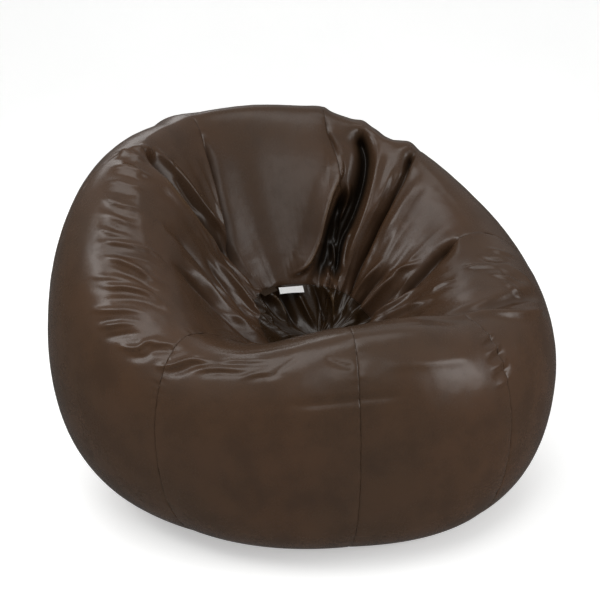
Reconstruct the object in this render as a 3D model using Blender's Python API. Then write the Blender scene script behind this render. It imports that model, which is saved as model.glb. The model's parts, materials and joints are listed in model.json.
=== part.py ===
"""Bean bag chair: eight vinyl side panels sewn into a round base and a small
sunken cap, a zipped liner inside, and the mass of beads that fills it.

Metres, +Z up. The seat faces -Y and the origin is on the floor under the
middle of the chair. The cover, the liner and the beads share one surface,
seat_surface(), and lie one inside the other.
"""

import math

import bmesh
import bpy
import numpy as np

# ---------------------------------------------------------------- dimensions
# One column per seam, counted anticlockwise from the front right seam.
# Angles are measured at the middle of the base, 0 being the front (-Y) and 90
# the right-hand side (+X). Left and right are as seen from the front.
SEAM_DEG = (20.0, 66.0, 107.0, 147.0, 202.5, 245.0, 290.0, 337.5)
CONTACT_R = (0.315, 0.320, 0.300, 0.290, 0.285, 0.275, 0.255, 0.265)
BELLY_R = (0.450, 0.480, 0.445, 0.430, 0.455, 0.510, 0.465, 0.425)
BELLY_Z = (0.220, 0.255, 0.270, 0.285, 0.295, 0.315, 0.265, 0.225)
CREST_R = (0.345, 0.335, 0.310, 0.270, 0.300, 0.330, 0.370, 0.345)
CREST_Z = (0.415, 0.490, 0.620, 0.695, 0.700, 0.665, 0.425, 0.445)
ROUND_IN = (0.26, 0.27, 0.30, 0.33, 0.21, 0.16, 0.18, 0.25)  # how far the crest rolls in
ROUND_OUT = (0.36, 0.36, 0.38, 0.40, 0.50, 0.46, 0.41, 0.37)  # how wide the seat's floor is
SEAT_X, SEAT_Y, SEAT_Z = 0.045, 0.045, 0.270  # lowest point of the seat
LIP_RISE, LIP_SPREAD = 0.018, 17.0  # the middle of the front lip stands a little higher

BASE_R = 0.245  # round base
CAP_AT = 0.70  # where the cap starts, from crest (0) to seat centre (1)
# Inside the seat some seams wander off their column as the cover slumps:
# degrees at these heights along the cover, one row per seam that does.
WANDER_U = (1.3, 2.0, 2.17, 2.27, 2.38, 2.50, 2.60, 2.72)
WANDER = {
    1: (0, 2, 2, 2, 0, -3, -5, -5),
    2: (0, -3, -5, -5.5, -5, -3, -2, -2),
    3: (0, -5.5, -8.5, -14.5, -19.0, -20.0, -19.0, -18.0),
    4: (0, -3, -1, 0.5, 3.5, 10.0, 14.5, 16.5),
    5: (0, -8, -6.5, -7, -9.5, -12.5, -15.5, -16.5),
}
VINYL = 0.0020  # cover with its backing
LINER = 0.0012
LINER_IN = 0.0048  # liner's outer face, inside the cover's outer face
FILL_IN = 0.0085
SEAM_GAP = 0.0003
COLS = 5  # facets across one panel

# closing zip in the base, along Y
ZIP_HALF = 0.180
CHANNEL_RISE = 0.009  # the base is drawn up round the zip, clear of the floor
CHANNEL_W = 0.022
CHANNEL_BLEND = 0.050
SLOT_HALF = 0.0085
TAPE_T = 0.0006
TAPE_W = 0.0160
COIL_W = 0.0030
COIL_H = 0.0022
ZIP_GAP = 0.0006
LINER_FLOOR = 0.0220
LINER_ZIP_HALF = 0.150
FILL_FLOOR = 0.0340

CURVE_A, CURVE_B, CURVE_C, CURVE_D = 0.62, 0.60, 0.55, 0.55


for old in list(bpy.data.objects):
    bpy.data.objects.remove(old, do_unlink=True)


# ------------------------------------------------------------------- surface
def ring(values, deg):
    """Smooth curve round the chair through one value per seam."""
    n = len(SEAM_DEG)
    knots = np.array([SEAM_DEG[(i - 2) % n] + 360.0 * ((i - 2) // n) for i in range(n + 5)])
    v = np.array([values[(i - 2) % n] for i in range(n + 5)])
    a = np.asarray(deg, float)
    a = (a - knots[1]) % 360.0 + knots[1]
    i = np.clip(np.searchsorted(knots, a, side="right") - 1, 1, n + 2)
    h = knots[i + 1] - knots[i]
    t = (a - knots[i]) / h
    m0 = (v[i + 1] - v[i - 1]) / (knots[i + 1] - knots[i - 1]) * h
    m1 = (v[i + 2] - v[i]) / (knots[i + 2] - knots[i]) * h
    t2, t3 = t * t, t * t * t
    return (2 * t3 - 3 * t2 + 1) * v[i] + (t3 - 2 * t2 + t) * m0 + (3 * t2 - 2 * t3) * v[i + 1] + (t3 - t2) * m1


def bezier(a, b, c, d, t):
    s = 1 - t
    return s**3 * a + 3 * s * s * t * b + 3 * s * t * t * c + t**3 * d


def base_surface(deg, u):
    """u: -1 edge of the base, 0 leaves the floor, 1 belly, 2 crest, 3 seat centre."""
    deg, u = np.broadcast_arrays(np.asarray(deg, float), np.asarray(u, float))
    r0, rb, zb = ring(CONTACT_R, deg), ring(BELLY_R, deg), ring(BELLY_Z, deg)
    off_front = (deg + 180.0) % 360.0 - 180.0
    rc = ring(CREST_R, deg)
    zc = ring(CREST_Z, deg) + LIP_RISE * np.exp(-((off_front / LIP_SPREAD) ** 2))
    k1, k2 = ring(ROUND_IN, deg), ring(ROUND_OUT, deg)
    way = np.stack([np.sin(np.radians(deg)), -np.cos(np.radians(deg))], -1)
    t = np.clip(u + 1, 0, 1)
    r_floor = BASE_R + (r0 - BASE_R) * t
    t = np.clip(u, 0, 1)
    r_low = bezier(r0, r0 + CURVE_A * (rb - r0), rb, rb, t)
    z_low = bezier(0, 0, zb * (1 - CURVE_B), zb, t)
    t = np.clip(u - 1, 0, 1)
    r_up = bezier(rb, rb, rc + CURVE_D * (rb - rc), rc, t)
    z_up = bezier(zb, zb + CURVE_C * (zc - zb), zc, zc, t)
    t = np.clip(u - 2, 0, 1)
    rho = bezier(1, 1 - k1, k2, 0, t)
    z_in = bezier(zc, zc, SEAT_Z, SEAT_Z, t)
    seat = np.array([SEAT_X, SEAT_Y])
    plan_in = seat + (way * rc[..., None] - seat) * rho[..., None]
    r = np.where(u <= 0, r_floor, np.where(u <= 1, r_low, r_up))
    z = np.where(u <= 0, 0.0, np.where(u <= 1, z_low, z_up))
    plan = np.where((u > 2)[..., None], plan_in, way * r[..., None])
    return np.concatenate([plan, np.where(u > 2, z_in, z)[..., None]], -1)


def surface_normal(deg, u):
    u = np.asarray(u, float)
    e = 0.02
    up = base_surface(deg, np.minimum(u + e, 2.98)) - base_surface(deg, np.minimum(u, 2.98) - e)
    round_ = base_surface(np.asarray(deg) + 0.5, np.minimum(u, 2.97)) - base_surface(
        np.asarray(deg) - 0.5, np.minimum(u, 2.97)
    )
    n = np.cross(round_, up)
    n = n / np.maximum(np.linalg.norm(n, axis=-1, keepdims=True), 1e-12)
    return np.where((u <= 0)[..., None], np.array([0.0, 0.0, -1.0]), n)


def seam_lines(u):
    """Azimuth of each of the eight seams at these heights along the cover."""
    u = np.asarray(u, float)
    return np.stack([SEAM_DEG[k] + (np.interp(u, WANDER_U, WANDER[k]) if k in WANDER else 0.0 * u) for k in range(8)], -1)


def seam_place(deg, u):
    """Which panel a point lies on, and how far across it, 0 to 1."""
    deg, u = np.broadcast_arrays(np.asarray(deg, float), np.asarray(u, float))
    edges = seam_lines(u)
    edges = np.concatenate([edges, edges[..., :1] + 360.0], -1)
    a = (deg - edges[..., 0]) % 360.0 + edges[..., 0]
    i = np.clip((a[..., None] >= edges).sum(-1) - 1, 0, 7)
    start = np.take_along_axis(edges, i[..., None], -1)[..., 0]
    end = np.take_along_axis(edges, i[..., None] + 1, -1)[..., 0]
    return i, np.clip((a - start) / (end - start), 0, 1)


def puff(deg, u):
    """How far a panel stands out between its two seams."""
    high = np.interp(u, (-1, 0, 0.5, 1.0, 1.6, 2.0, 2.3, 2.6, 3.0), (0, 0, 0.004, 0.006, 0.003, -0.003, 0.006, 0.010, 0.0))
    return high * np.sin(np.pi * seam_place(deg, u)[1]) ** 0.8


def seat_surface(deg, u, inside=0.0):
    """The cover's outer face, or a face that lies this far inside it."""
    deg, u = np.broadcast_arrays(np.asarray(deg, float), np.asarray(u, float))
    return base_surface(deg, u) + surface_normal(deg, u) * (puff(deg, u) - inside)[..., None]


_deg, _u = np.meshgrid(np.arange(0.0, 360.0, 1.5), np.linspace(0, 3, 61), indexing="ij")
_all = seat_surface(_deg, _u)[..., :2].reshape(-1, 2)
SHIFT = np.append(-(_all.min(0) + _all.max(0)) / 2, 0.0)  # puts the origin under the middle

ROWS = (-1.0, -0.5, 0.0, 0.3, 0.6, 0.85, 1.15, 1.45, 1.75, 1.95, 2.12, 2.28, 2.43, 2.57, CAP_AT + 2)
CAP_ROWS = (CAP_AT + 2, 2.79, 2.90)


# -------------------------------------------------------------- mesh helpers
def material(name, rgb, rough, metal=0.0):
    found = bpy.data.materials.get(name)
    if found:
        return found
    made = bpy.data.materials.new(name)
    made.use_nodes = True
    shader = made.node_tree.nodes["Principled BSDF"]
    shader.inputs["Base Color"].default_value = (*rgb, 1)
    shader.inputs["Roughness"].default_value = rough
    shader.inputs["Metallic"].default_value = metal
    made.diffuse_color = (*rgb, 1)
    return made


VINYL_MAT = material("brown_vinyl", (0.060, 0.032, 0.020), 0.32)
CAP_MAT = material("brown_vinyl_cap", (0.052, 0.028, 0.018), 0.34)
BASE_MAT = material("brown_vinyl_base", (0.050, 0.028, 0.018), 0.40)
TAPE_MAT = material("zip_tape", (0.030, 0.020, 0.014), 0.85)
COIL_MAT = material("zip_coil", (0.035, 0.022, 0.016), 0.45)
METAL_MAT = material("zip_metal", (0.30, 0.27, 0.22), 0.35, 1.0)
LABEL_MAT = material("label_white", (0.78, 0.78, 0.76), 0.8)
LINER_MAT = material("liner_fabric", (0.72, 0.71, 0.68), 0.9)
BEAD_MAT = material("beads", (0.86, 0.86, 0.85), 0.8)


def add(name, points, faces, mat, origin=None, smooth=True):
    """One closed mesh as one object, facing out, with its origin where asked."""
    points = np.asarray(points, float) + SHIFT
    origin = np.array([0.0, 0.0, 0.0]) if origin is None else np.asarray(origin, float) + SHIFT
    mesh = bpy.data.meshes.new(name)
    mesh.from_pydata([tuple(p) for p in points - origin], [], [tuple(int(i) for i in f) for f in faces])
    bm = bmesh.new()
    bm.from_mesh(mesh)
    bmesh.ops.remove_doubles(bm, verts=bm.verts, dist=1e-6)
    bmesh.ops.recalc_face_normals(bm, faces=bm.faces)
    if bm.calc_volume(signed=True) < 0:
        bmesh.ops.reverse_faces(bm, faces=bm.faces)
    bm.to_mesh(mesh)
    bm.free()
    if smooth:
        mesh.shade_smooth()
        mesh.set_sharp_from_angle(angle=math.radians(40))
    mesh.materials.append(mat)
    obj = bpy.data.objects.new(name, mesh)
    obj.location = origin
    bpy.context.scene.collection.objects.link(obj)
    return obj


def sheet(outer, inner):
    """Closed mesh of two grids of points, face to face, joined round their edge."""
    rows, cols = outer.shape[:2]
    points = np.concatenate([outer.reshape(-1, 3), inner.reshape(-1, 3)])
    at = np.arange(rows * cols).reshape(rows, cols)
    faces = []
    for i in range(rows - 1):
        for j in range(cols - 1):
            q = (at[i, j], at[i, j + 1], at[i + 1, j + 1], at[i + 1, j])
            faces += [(q[0], q[1], q[2]), (q[0], q[2], q[3])]
            w = [k + rows * cols for k in q]
            faces += [(w[2], w[1], w[0]), (w[3], w[2], w[0])]
    edge = (
        [at[0, j] for j in range(cols)]
        + [at[i, -1] for i in range(1, rows)]
        + [at[-1, j] for j in range(cols - 2, -1, -1)]
        + [at[i, 0] for i in range(rows - 2, 0, -1)]
    )
    for a, b in zip(edge, edge[1:] + edge[:1]):
        faces += [(b, a, a + rows * cols), (b, a + rows * cols, b + rows * cols)]
    return points, faces


def extrude_y(profile, y0, y1):
    """Closed prism along Y of a closed (x, z) outline."""
    n = len(profile)
    points = [(x, y0, z) for x, z in profile] + [(x, y1, z) for x, z in profile]
    faces = [tuple(range(n)), tuple(range(2 * n - 1, n - 1, -1))]
    faces += [(i, i + n, (i + 1) % n + n, (i + 1) % n) for i in range(n)]
    return points, faces


def box(x0, x1, y0, y1, z0, z1):
    return extrude_y([(x0, z0), (x1, z0), (x1, z1), (x0, z1)], y0, y1)


def union(obj, others):
    for other in others:
        cut = obj.modifiers.new("join_" + other.name, "BOOLEAN")
        cut.operation = "UNION"
        cut.object = other
        other.hide_render = True
        other.display_type = "WIRE"


# --------------------------------------------------------------- side panels
PANELS = (
    "side_panel_front_right",
    "side_panel_right",
    "side_panel_back_right",
    "side_panel_back",
    "side_panel_back_left",
    "side_panel_left",
    "side_panel_front_left",
    "side_panel_front",
)
for k, name in enumerate(PANELS):
    rows_u = np.array(ROWS)
    lines = seam_lines(rows_u)
    start = lines[:, k]
    end = lines[:, (k + 1) % 8] + (360.0 if k == 7 else 0.0)
    mid = base_surface((start + end) / 2, rows_u)
    around = np.where(rows_u > 2, np.hypot(mid[:, 0] - SEAT_X, mid[:, 1] - SEAT_Y), np.hypot(mid[:, 0], mid[:, 1]))
    pull = np.degrees(SEAM_GAP / around)
    lo, hi = start + pull, end - pull
    part = np.linspace(0, 1, COLS + 1)
    deg = lo[:, None] + (hi - lo)[:, None] * part[None]
    u = np.repeat(rows_u[:, None], COLS + 1, 1)
    add(name, *sheet(seat_surface(deg, u), seat_surface(deg, u, VINYL)), VINYL_MAT)


# ------------------------------------------------- round layers: cap and fill
def turns(u):
    """The azimuths of the facets at this height, the same for every layer."""
    made = []
    lines = seam_lines(u)
    for k in range(8):
        start = lines[k]
        end = lines[(k + 1) % 8] + (360.0 if k == 7 else 0.0)
        made += [start + (end - start) * j / COLS for j in range(COLS)]
    return np.array(made)


def seat_centre(inside):
    return np.array([SEAT_X, SEAT_Y, SEAT_Z - inside])


def rings_to_mesh(rings, tip=None, foot=None):
    """Faces of stacked rings of points, closed at either end by a point."""
    n = len(rings[0])
    points = [p for r in rings for p in r]
    faces = []
    for i in range(len(rings) - 1):
        for j in range(n):
            a, b = i * n + j, i * n + (j + 1) % n
            faces += [(a, b, b + n), (a, b + n, a + n)]
    if tip is not None:
        points.append(tip)
        last = (len(rings) - 1) * n
        faces += [(last + j, last + (j + 1) % n, len(points) - 1) for j in range(n)]
    if foot is not None:
        points.append(foot)
        faces += [((j + 1) % n, j, len(points) - 1) for j in range(n)]
    return points, faces


DEG = turns(-1.0)
n = len(DEG)
gap_u = 0.0008 / 0.3
cap_u = [CAP_AT + 2 + 2 * gap_u] + list(CAP_ROWS[1:])
top = [seat_surface(turns(u), u) for u in cap_u]
low = [seat_surface(turns(u), u, VINYL) for u in cap_u]
pt, ft = rings_to_mesh(top, tip=seat_centre(0))
pl, fl = rings_to_mesh(low, tip=seat_centre(VINYL))
faces = list(ft) + [tuple(len(pt) + i for i in reversed(f)) for f in fl]
for j in range(n):
    a, b = j, (j + 1) % n
    faces += [(b, a, a + len(pt)), (b, a + len(pt), b + len(pt))]
add("top_cap", pt + pl, faces, CAP_MAT)


def layer_rings(inside, floor):
    """Rings from the base up over the crest to the seat, for an inner layer."""
    made = []
    for u in ROWS[1:] + CAP_ROWS[1:]:
        p = seat_surface(turns(u), u, inside)
        low_z = np.interp(u, (-1.0, 0.0, 0.3, 0.6), (floor, floor * 0.62, 0.0, 0.0))
        p[:, 2] = np.maximum(p[:, 2], max(low_z, 0.0)) if u < 0.6 else p[:, 2]
        made.append(p)
    return made


# The bead fill is one solid lump.
rings = layer_rings(FILL_IN, FILL_FLOOR)
inner_floor = [np.column_stack([0.225 * np.sin(np.radians(DEG)), -0.225 * np.cos(np.radians(DEG)), np.full(n, FILL_FLOOR)])]
points, faces = rings_to_mesh(inner_floor + rings[1:], tip=seat_centre(FILL_IN), foot=np.array([0, 0, FILL_FLOOR]))
add("bead_fill", points, faces, BEAD_MAT)

# The liner is a bag with a slot along its zip.
LINER_SLOT = 0.0075
SLOT_Y = LINER_ZIP_HALF + 0.006


def slot_ring(half_w, half_l, z):
    """As many points as the facets round the chair, on a long slot's edge."""
    made = []
    for d in DEG:
        x, y = math.sin(math.radians(d)), -math.cos(math.radians(d))
        k = 1.0 / max(abs(x), abs(y))
        sx, sy = x * k, y * k
        if abs(sx) >= 1 - 1e-9:
            made.append((math.copysign(half_w, sx), sy * half_l * 0.97, z))
        else:
            made.append((sx * half_w, math.copysign(half_l, sy), z))
    return np.array(made)


def circle_ring(r, z):
    return np.column_stack([r * np.sin(np.radians(DEG)), -r * np.cos(np.radians(DEG)), np.full(n, z)])


outer = [slot_ring(LINER_SLOT, SLOT_Y, LINER_FLOOR), circle_ring(0.215, LINER_FLOOR)] + layer_rings(LINER_IN, LINER_FLOOR)[1:]
inner = [slot_ring(LINER_SLOT, SLOT_Y, LINER_FLOOR + LINER), circle_ring(0.215, LINER_FLOOR + LINER)] + layer_rings(
    LINER_IN + LINER, LINER_FLOOR + LINER
)[1:]
po, fo = rings_to_mesh(outer, tip=seat_centre(LINER_IN))
pi, fi = rings_to_mesh(inner, tip=seat_centre(LINER_IN + LINER))
faces = list(fo) + [tuple(len(po) + i for i in reversed(f)) for f in fi]
for j in range(n):
    a, b = j, (j + 1) % n
    faces += [(b, a, a + len(po)), (b, a + len(po), b + len(po))]
add("inner_liner", po + pi, faces, LINER_MAT)


# --------------------------------------------------------------- base panels
def smooth(t):
    t = np.clip(t, 0, 1)
    return t * t * (3 - 2 * t)


def channel(x, y):
    """Height of the base over the floor: it is drawn up round the zip."""
    across = 1 - smooth((abs(x) - CHANNEL_W) / CHANNEL_BLEND)
    along = 1 - smooth((abs(y) - ZIP_HALF - 0.016) / 0.045)
    return CHANNEL_RISE * across * along


def base_half(name, side):
    """One half of the round base, from the zip's slot out to the rim's facets."""
    r = BASE_R - 2 * SEAM_GAP
    corners = [d for d in sorted(DEG % 360.0) if (0.5 < d < 179.5 if side > 0 else 180.5 < d < 359.5)]
    if side < 0:
        corners = corners[::-1]
    circle = sorted(DEG % 360.0)

    def on_y_axis(at):
        """Where the faceted rim crosses the Y axis."""
        before = max((d for d in circle if d < at), default=circle[-1] - 360.0)
        after = min((d for d in circle if d > at), default=circle[0] + 360.0)
        p, q = (np.array([math.sin(math.radians(d)), -math.cos(math.radians(d))]) * r for d in (before, after))
        return (p + (q - p) * p[0] / (p[0] - q[0]))[1]

    rim = [(SEAM_GAP, on_y_axis(360.0 if side < 0 else 0.0))]
    rim += [(abs(r * math.sin(math.radians(d))), -r * math.cos(math.radians(d))) for d in corners]
    rim += [(SEAM_GAP, on_y_axis(180.0))]
    reach = ZIP_HALF + 0.0075
    last = len(rim) - 1
    slot_y = np.interp(
        range(len(rim)),
        (0, 3, 4, last - 4, last - 3, last),
        (rim[0][1] + 0.012, -reach - 0.005, -reach, reach, reach + 0.005, rim[-1][1] - 0.012),
    )
    rows = []
    for i, (rx, ry) in enumerate(rim):
        y0 = float(slot_y[i])
        x0 = SEAM_GAP + (SLOT_HALF if abs(y0) <= reach + 1e-6 else 0.0)
        row = []
        for t in (0, 0.04, 0.12, 0.2, 0.28, 0.42, 1.0):
            x, y = x0 + (rx - x0) * t, y0 + (ry - y0) * t
            row.append((side * x, y, float(channel(x, y))))
        rows.append(row)
    under = np.array(rows)
    over = under + np.array([0, 0, VINYL])
    add(name, *sheet(under, over), BASE_MAT)


base_half("base_panel_right", 1)
base_half("base_panel_left", -1)


# ------------------------------------------------------------------ the zips
def zip_parts(prefix, half, z_tape, coil_under, slider_name, panel_half, big):
    """A coil zip along Y: two tapes, two coils and a slider.

    z_tape is the tape's lower face. The coils lie under the tapes on the
    cover's zip, and over them on the liner's."""
    k = 1.0 if big else 0.7
    cw, ch = COIL_W * k, COIL_H * k
    if coil_under:
        c0, c1 = z_tape - 0.0003 - ch, z_tape - 0.0003
    else:
        c0, c1 = z_tape + TAPE_T + 0.0003, z_tape + TAPE_T + 0.0003 + ch
    for side, word in ((1, "right"), (-1, "left")):
        xs = sorted((side * ZIP_GAP, side * (ZIP_GAP + TAPE_W * (1 if big else 0.75))))
        add(f"{prefix}tape_{word}", *box(xs[0], xs[1], -half - 0.008, half + 0.008, z_tape, z_tape + TAPE_T), TAPE_MAT, smooth=False)
        x0, x1 = ZIP_GAP, ZIP_GAP + cw
        b = 0.25 * min(cw, ch)
        outline = [(x0 + b, c0), (x1 - b, c0), (x1, c0 + b), (x1, c1 - b), (x1 - b, c1), (x0 + b, c1), (x0, c1 - b), (x0, c0 + b)]
        outline = [(side * x, z) for x, z in outline]
        add(f"{prefix}coil_{word}", *extrude_y(outline, -half, half), COIL_MAT, smooth=False)
    # The slider is at the front, where the zip is closed.
    y0 = -half + 0.0012
    length, width = (0.0110, 0.0114) if big else (0.0084, 0.0092)
    t_plate = 0.0012 * k
    if coil_under:
        low0, low1 = c0 - 0.0004 - t_plate, c0 - 0.0004
        top0, top1 = z_tape + TAPE_T + 0.0004, z_tape + TAPE_T + 0.0004 + t_plate
    else:
        low0, low1 = z_tape - 0.0004 - t_plate, z_tape - 0.0004
        top0, top1 = c1 + 0.0004, c1 + 0.0004 + t_plate

    def plate(z0, z1, wide):
        h = wide / 2
        outline = [(-h * 0.72, 0.0), (h * 0.72, 0.0), (h, length * 0.30), (h, length * 0.62), (h * 0.66, length), (-h * 0.66, length), (-h, length * 0.62), (-h, length * 0.30)]
        pts = [(x, y0 + y, z0) for x, y in outline] + [(x, y0 + y, z1) for x, y in outline]
        m = len(outline)
        fs = [tuple(range(m - 1, -1, -1)), tuple(range(m, 2 * m))] + [(i, (i + 1) % m, (i + 1) % m + m, i + m) for i in range(m)]
        return pts, fs

    origin = (0.0, y0 + length / 2, (low0 + top1) / 2)
    body = add(slider_name, *plate(low0, low1, width), METAL_MAT, origin=origin, smooth=False)
    upper = add(slider_name + "_upper", *plate(top0, top1, width * 0.96), METAL_MAT, origin=origin, smooth=False)
    web = add(slider_name + "_web", *box(-0.0003, 0.0003, y0 + 0.0015, y0 + length - 0.0015, low0 + 0.0003, top1 - 0.0003), METAL_MAT, origin=origin, smooth=False)
    joined = [web, upper]
    lip = width / 2 - 0.0008
    clear = c0 if coil_under else c1
    for side, word in ((1, "a"), (-1, "b")):
        xs = sorted((side * lip, side * (lip - 0.0007)))
        if coil_under:
            z0, z1 = low0 + 0.0002, z_tape - 0.0003
        else:
            z0, z1 = z_tape + TAPE_T + 0.0003, top1 - 0.0002
        joined.append(add(f"{slider_name}_lip_{word}", *box(xs[0], xs[1], y0 + 0.0034, y0 + length * 0.6, z0, z1), METAL_MAT, origin=origin, smooth=False))
    # the small housing over the lock pin; a child-safe slider has no pull
    if coil_under:
        hz0, hz1 = low0 - 0.0007, low0 + 0.0002
    else:
        hz0, hz1 = top1 - 0.0002, top1 + 0.0006
    joined.append(add(slider_name + "_hump", *box(-0.0012 * k, 0.0012 * k, y0 + length * 0.22, y0 + length * 0.78, hz0, hz1), METAL_MAT, origin=origin, smooth=False))
    union(body, joined)
    return c0, c1, y0, length


tape_z = CHANNEL_RISE + VINYL + 0.0003
c0, c1, slider_y, slider_len = zip_parts("zip_", ZIP_HALF, tape_z, True, "zip_slider", SLOT_HALF, True)
add("zip_top_stop", *box(-0.0036, 0.0036, -ZIP_HALF - 0.0042, -ZIP_HALF - 0.0004, c0, c1), METAL_MAT, smooth=False)
add("zip_bottom_stop", *box(-0.0040, 0.0040, ZIP_HALF + 0.0004, ZIP_HALF + 0.0054, c0, c1), METAL_MAT, smooth=False)
zip_parts("liner_zip_", LINER_ZIP_HALF, LINER_FLOOR + LINER + 0.0003, False, "liner_zip_slider", LINER_SLOT, False)

# flap inside the cover, sewn down along one side, that keeps beads off the zip
x_flap = (-0.060, -0.050, -0.036, -0.024, 0.030)
z_flap = (0.0034, 0.0056, 0.0128, 0.0168, 0.0168)
z_flap = [max(z, float(channel(x, 0.0)) + VINYL + 0.0016) for x, z in zip(x_flap, z_flap)]
flap = [(x, z) for x, z in zip(x_flap, z_flap)] + [(x, z + 0.0010) for x, z in reversed(list(zip(x_flap, z_flap)))]
add("zip_guard_flap", *extrude_y(flap, -ZIP_HALF - 0.004, ZIP_HALF + 0.004), BASE_MAT, smooth=False)


# ----------------------------------------------- care label and seam tab
def tab(name, at_deg, at_u, width, drop, thick, skew, off, narrow, mat):
    """A thin tab whose top edge lies in the seam at the foot of the back panel,
    and which lies forward over the cap. Its origin is on that edge."""
    p = seat_surface(at_deg, at_u)
    q = seat_surface(at_deg, at_u + 0.16)
    side = seat_surface(at_deg + 6, at_u) - seat_surface(at_deg - 6, at_u)
    side[2] *= 0.3
    side /= np.linalg.norm(side)
    down = q - p
    down -= side * (down @ side)
    down /= np.linalg.norm(down)
    up = np.cross(side, down)
    up = up if up[2] > 0 else -up
    lift = math.radians(skew)
    fall = down * math.cos(lift) + up * math.sin(lift)
    rise = np.cross(side, fall)
    rise = rise if rise[2] > 0 else -rise
    origin = p + up * off
    pts = []
    for t in (0.0, thick):
        for d, w in ((0.0, 0.5), (0.92, 0.5 * narrow), (1.0, 0.46 * narrow), (1.0, -0.46 * narrow), (0.92, -0.5 * narrow), (0.0, -0.5)):
            pts.append(origin + side * (w * width) + fall * (d * drop) + rise * t)
    m = 6
    fs = [tuple(range(m - 1, -1, -1)), tuple(range(m, 2 * m))] + [(i, (i + 1) % m, (i + 1) % m + m, i + m) for i in range(m)]
    add(name, pts, fs, mat, origin=origin, smooth=False)
    return origin + SHIFT, side


LABEL_DEG, TAB_DEG = 178.0, 211.0
for tab_name, tab_deg, below, wide, drop, thick, skew, off, narrow, mat in (
    ("care_label", LABEL_DEG, 0.012, 0.050, 0.018, 0.0008, 34.0, 0.0040, 1.0, LABEL_MAT),
    ("seam_tab", TAB_DEG, 0.004, 0.046, 0.017, 0.0026, 26.0, 0.0105, 0.86, CAP_MAT),
):
    pivot, axis = tab(tab_name, tab_deg, CAP_AT + 2 + below, wide, drop, thick, skew, off, narrow, mat)
    print("PIVOT", tab_name, [round(float(v), 5) for v in pivot], "AXIS", [round(float(v), 5) for v in axis])
print("SHIFT", [round(float(v), 5) for v in SHIFT])
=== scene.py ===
"""Looks of the bean bag chair: the slumped vinyl cover with its folds, seams and
gloss, the zipped base, the label, and the liner and beads inside.

Metres, +Z up, the CAD frame: the seat faces -Y, the origin is on the floor
under the middle of the chair."""

import json
import math
import bmesh
import bpy
import numpy as np
from mathutils import Matrix, Vector, noise


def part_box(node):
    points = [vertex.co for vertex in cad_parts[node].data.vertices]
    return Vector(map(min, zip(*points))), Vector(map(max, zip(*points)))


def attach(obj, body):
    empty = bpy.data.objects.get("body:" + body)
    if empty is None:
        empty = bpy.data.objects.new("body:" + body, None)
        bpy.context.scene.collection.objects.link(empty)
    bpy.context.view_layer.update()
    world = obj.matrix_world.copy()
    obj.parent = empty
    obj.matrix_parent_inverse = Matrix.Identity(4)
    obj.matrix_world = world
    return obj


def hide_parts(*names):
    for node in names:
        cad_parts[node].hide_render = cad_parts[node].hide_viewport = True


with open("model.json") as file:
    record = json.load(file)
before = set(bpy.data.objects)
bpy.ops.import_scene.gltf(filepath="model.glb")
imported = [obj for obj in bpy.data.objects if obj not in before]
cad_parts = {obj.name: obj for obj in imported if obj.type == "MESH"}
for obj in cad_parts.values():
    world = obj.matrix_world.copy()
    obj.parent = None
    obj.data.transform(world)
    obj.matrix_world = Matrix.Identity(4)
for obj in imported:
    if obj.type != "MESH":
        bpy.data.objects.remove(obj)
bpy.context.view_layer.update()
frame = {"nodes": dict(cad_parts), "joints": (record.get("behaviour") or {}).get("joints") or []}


# ---------------------------------------------------------------- dimensions
# One column per seam, counted anticlockwise from the front right seam.
# Angles are measured at the middle of the base, 0 being the front (-Y) and 90
# the right-hand side (+X). Left and right are as seen from the front.
SEAM_DEG = (20.0, 66.0, 107.0, 147.0, 202.5, 245.0, 290.0, 337.5)
CONTACT_R = (0.315, 0.320, 0.300, 0.290, 0.285, 0.275, 0.255, 0.265)
BELLY_R = (0.450, 0.480, 0.445, 0.430, 0.455, 0.510, 0.465, 0.425)
BELLY_Z = (0.220, 0.255, 0.270, 0.285, 0.295, 0.315, 0.265, 0.225)
CREST_R = (0.345, 0.335, 0.310, 0.270, 0.300, 0.330, 0.370, 0.345)
CREST_Z = (0.415, 0.490, 0.620, 0.695, 0.700, 0.665, 0.425, 0.445)
ROUND_IN = (0.26, 0.27, 0.30, 0.33, 0.21, 0.16, 0.18, 0.25)  # how far the crest rolls in
ROUND_OUT = (0.36, 0.36, 0.38, 0.40, 0.50, 0.46, 0.41, 0.37)  # how wide the seat's floor is
SEAT_X, SEAT_Y, SEAT_Z = 0.045, 0.045, 0.270  # lowest point of the seat
LIP_RISE, LIP_SPREAD = 0.018, 17.0  # the middle of the front lip stands a little higher

BASE_R = 0.245  # round base
CAP_AT = 0.70  # where the cap starts, from crest (0) to seat centre (1)
# Inside the seat some seams wander off their column as the cover slumps:
# degrees at these heights along the cover, one row per seam that does.
WANDER_U = (1.3, 2.0, 2.17, 2.27, 2.38, 2.50, 2.60, 2.72)
WANDER = {
    1: (0, 2, 2, 2, 0, -3, -5, -5),
    2: (0, -3, -5, -5.5, -5, -3, -2, -2),
    3: (0, -5.5, -8.5, -14.5, -19.0, -20.0, -19.0, -18.0),
    4: (0, -3, -1, 0.5, 3.5, 10.0, 14.5, 16.5),
    5: (0, -8, -6.5, -7, -9.5, -12.5, -15.5, -16.5),
}
VINYL = 0.0020  # cover with its backing
LINER = 0.0012
LINER_IN = 0.0048  # liner's outer face, inside the cover's outer face
FILL_IN = 0.0085
SEAM_GAP = 0.0003
COLS = 5  # facets across one panel

# closing zip in the base, along Y
ZIP_HALF = 0.180
CHANNEL_RISE = 0.009  # the base is drawn up round the zip, clear of the floor
CHANNEL_W = 0.022
CHANNEL_BLEND = 0.050
SLOT_HALF = 0.0085
TAPE_T = 0.0006
TAPE_W = 0.0160
COIL_W = 0.0030
COIL_H = 0.0022
ZIP_GAP = 0.0006
LINER_FLOOR = 0.0220
LINER_ZIP_HALF = 0.150
FILL_FLOOR = 0.0340

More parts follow.
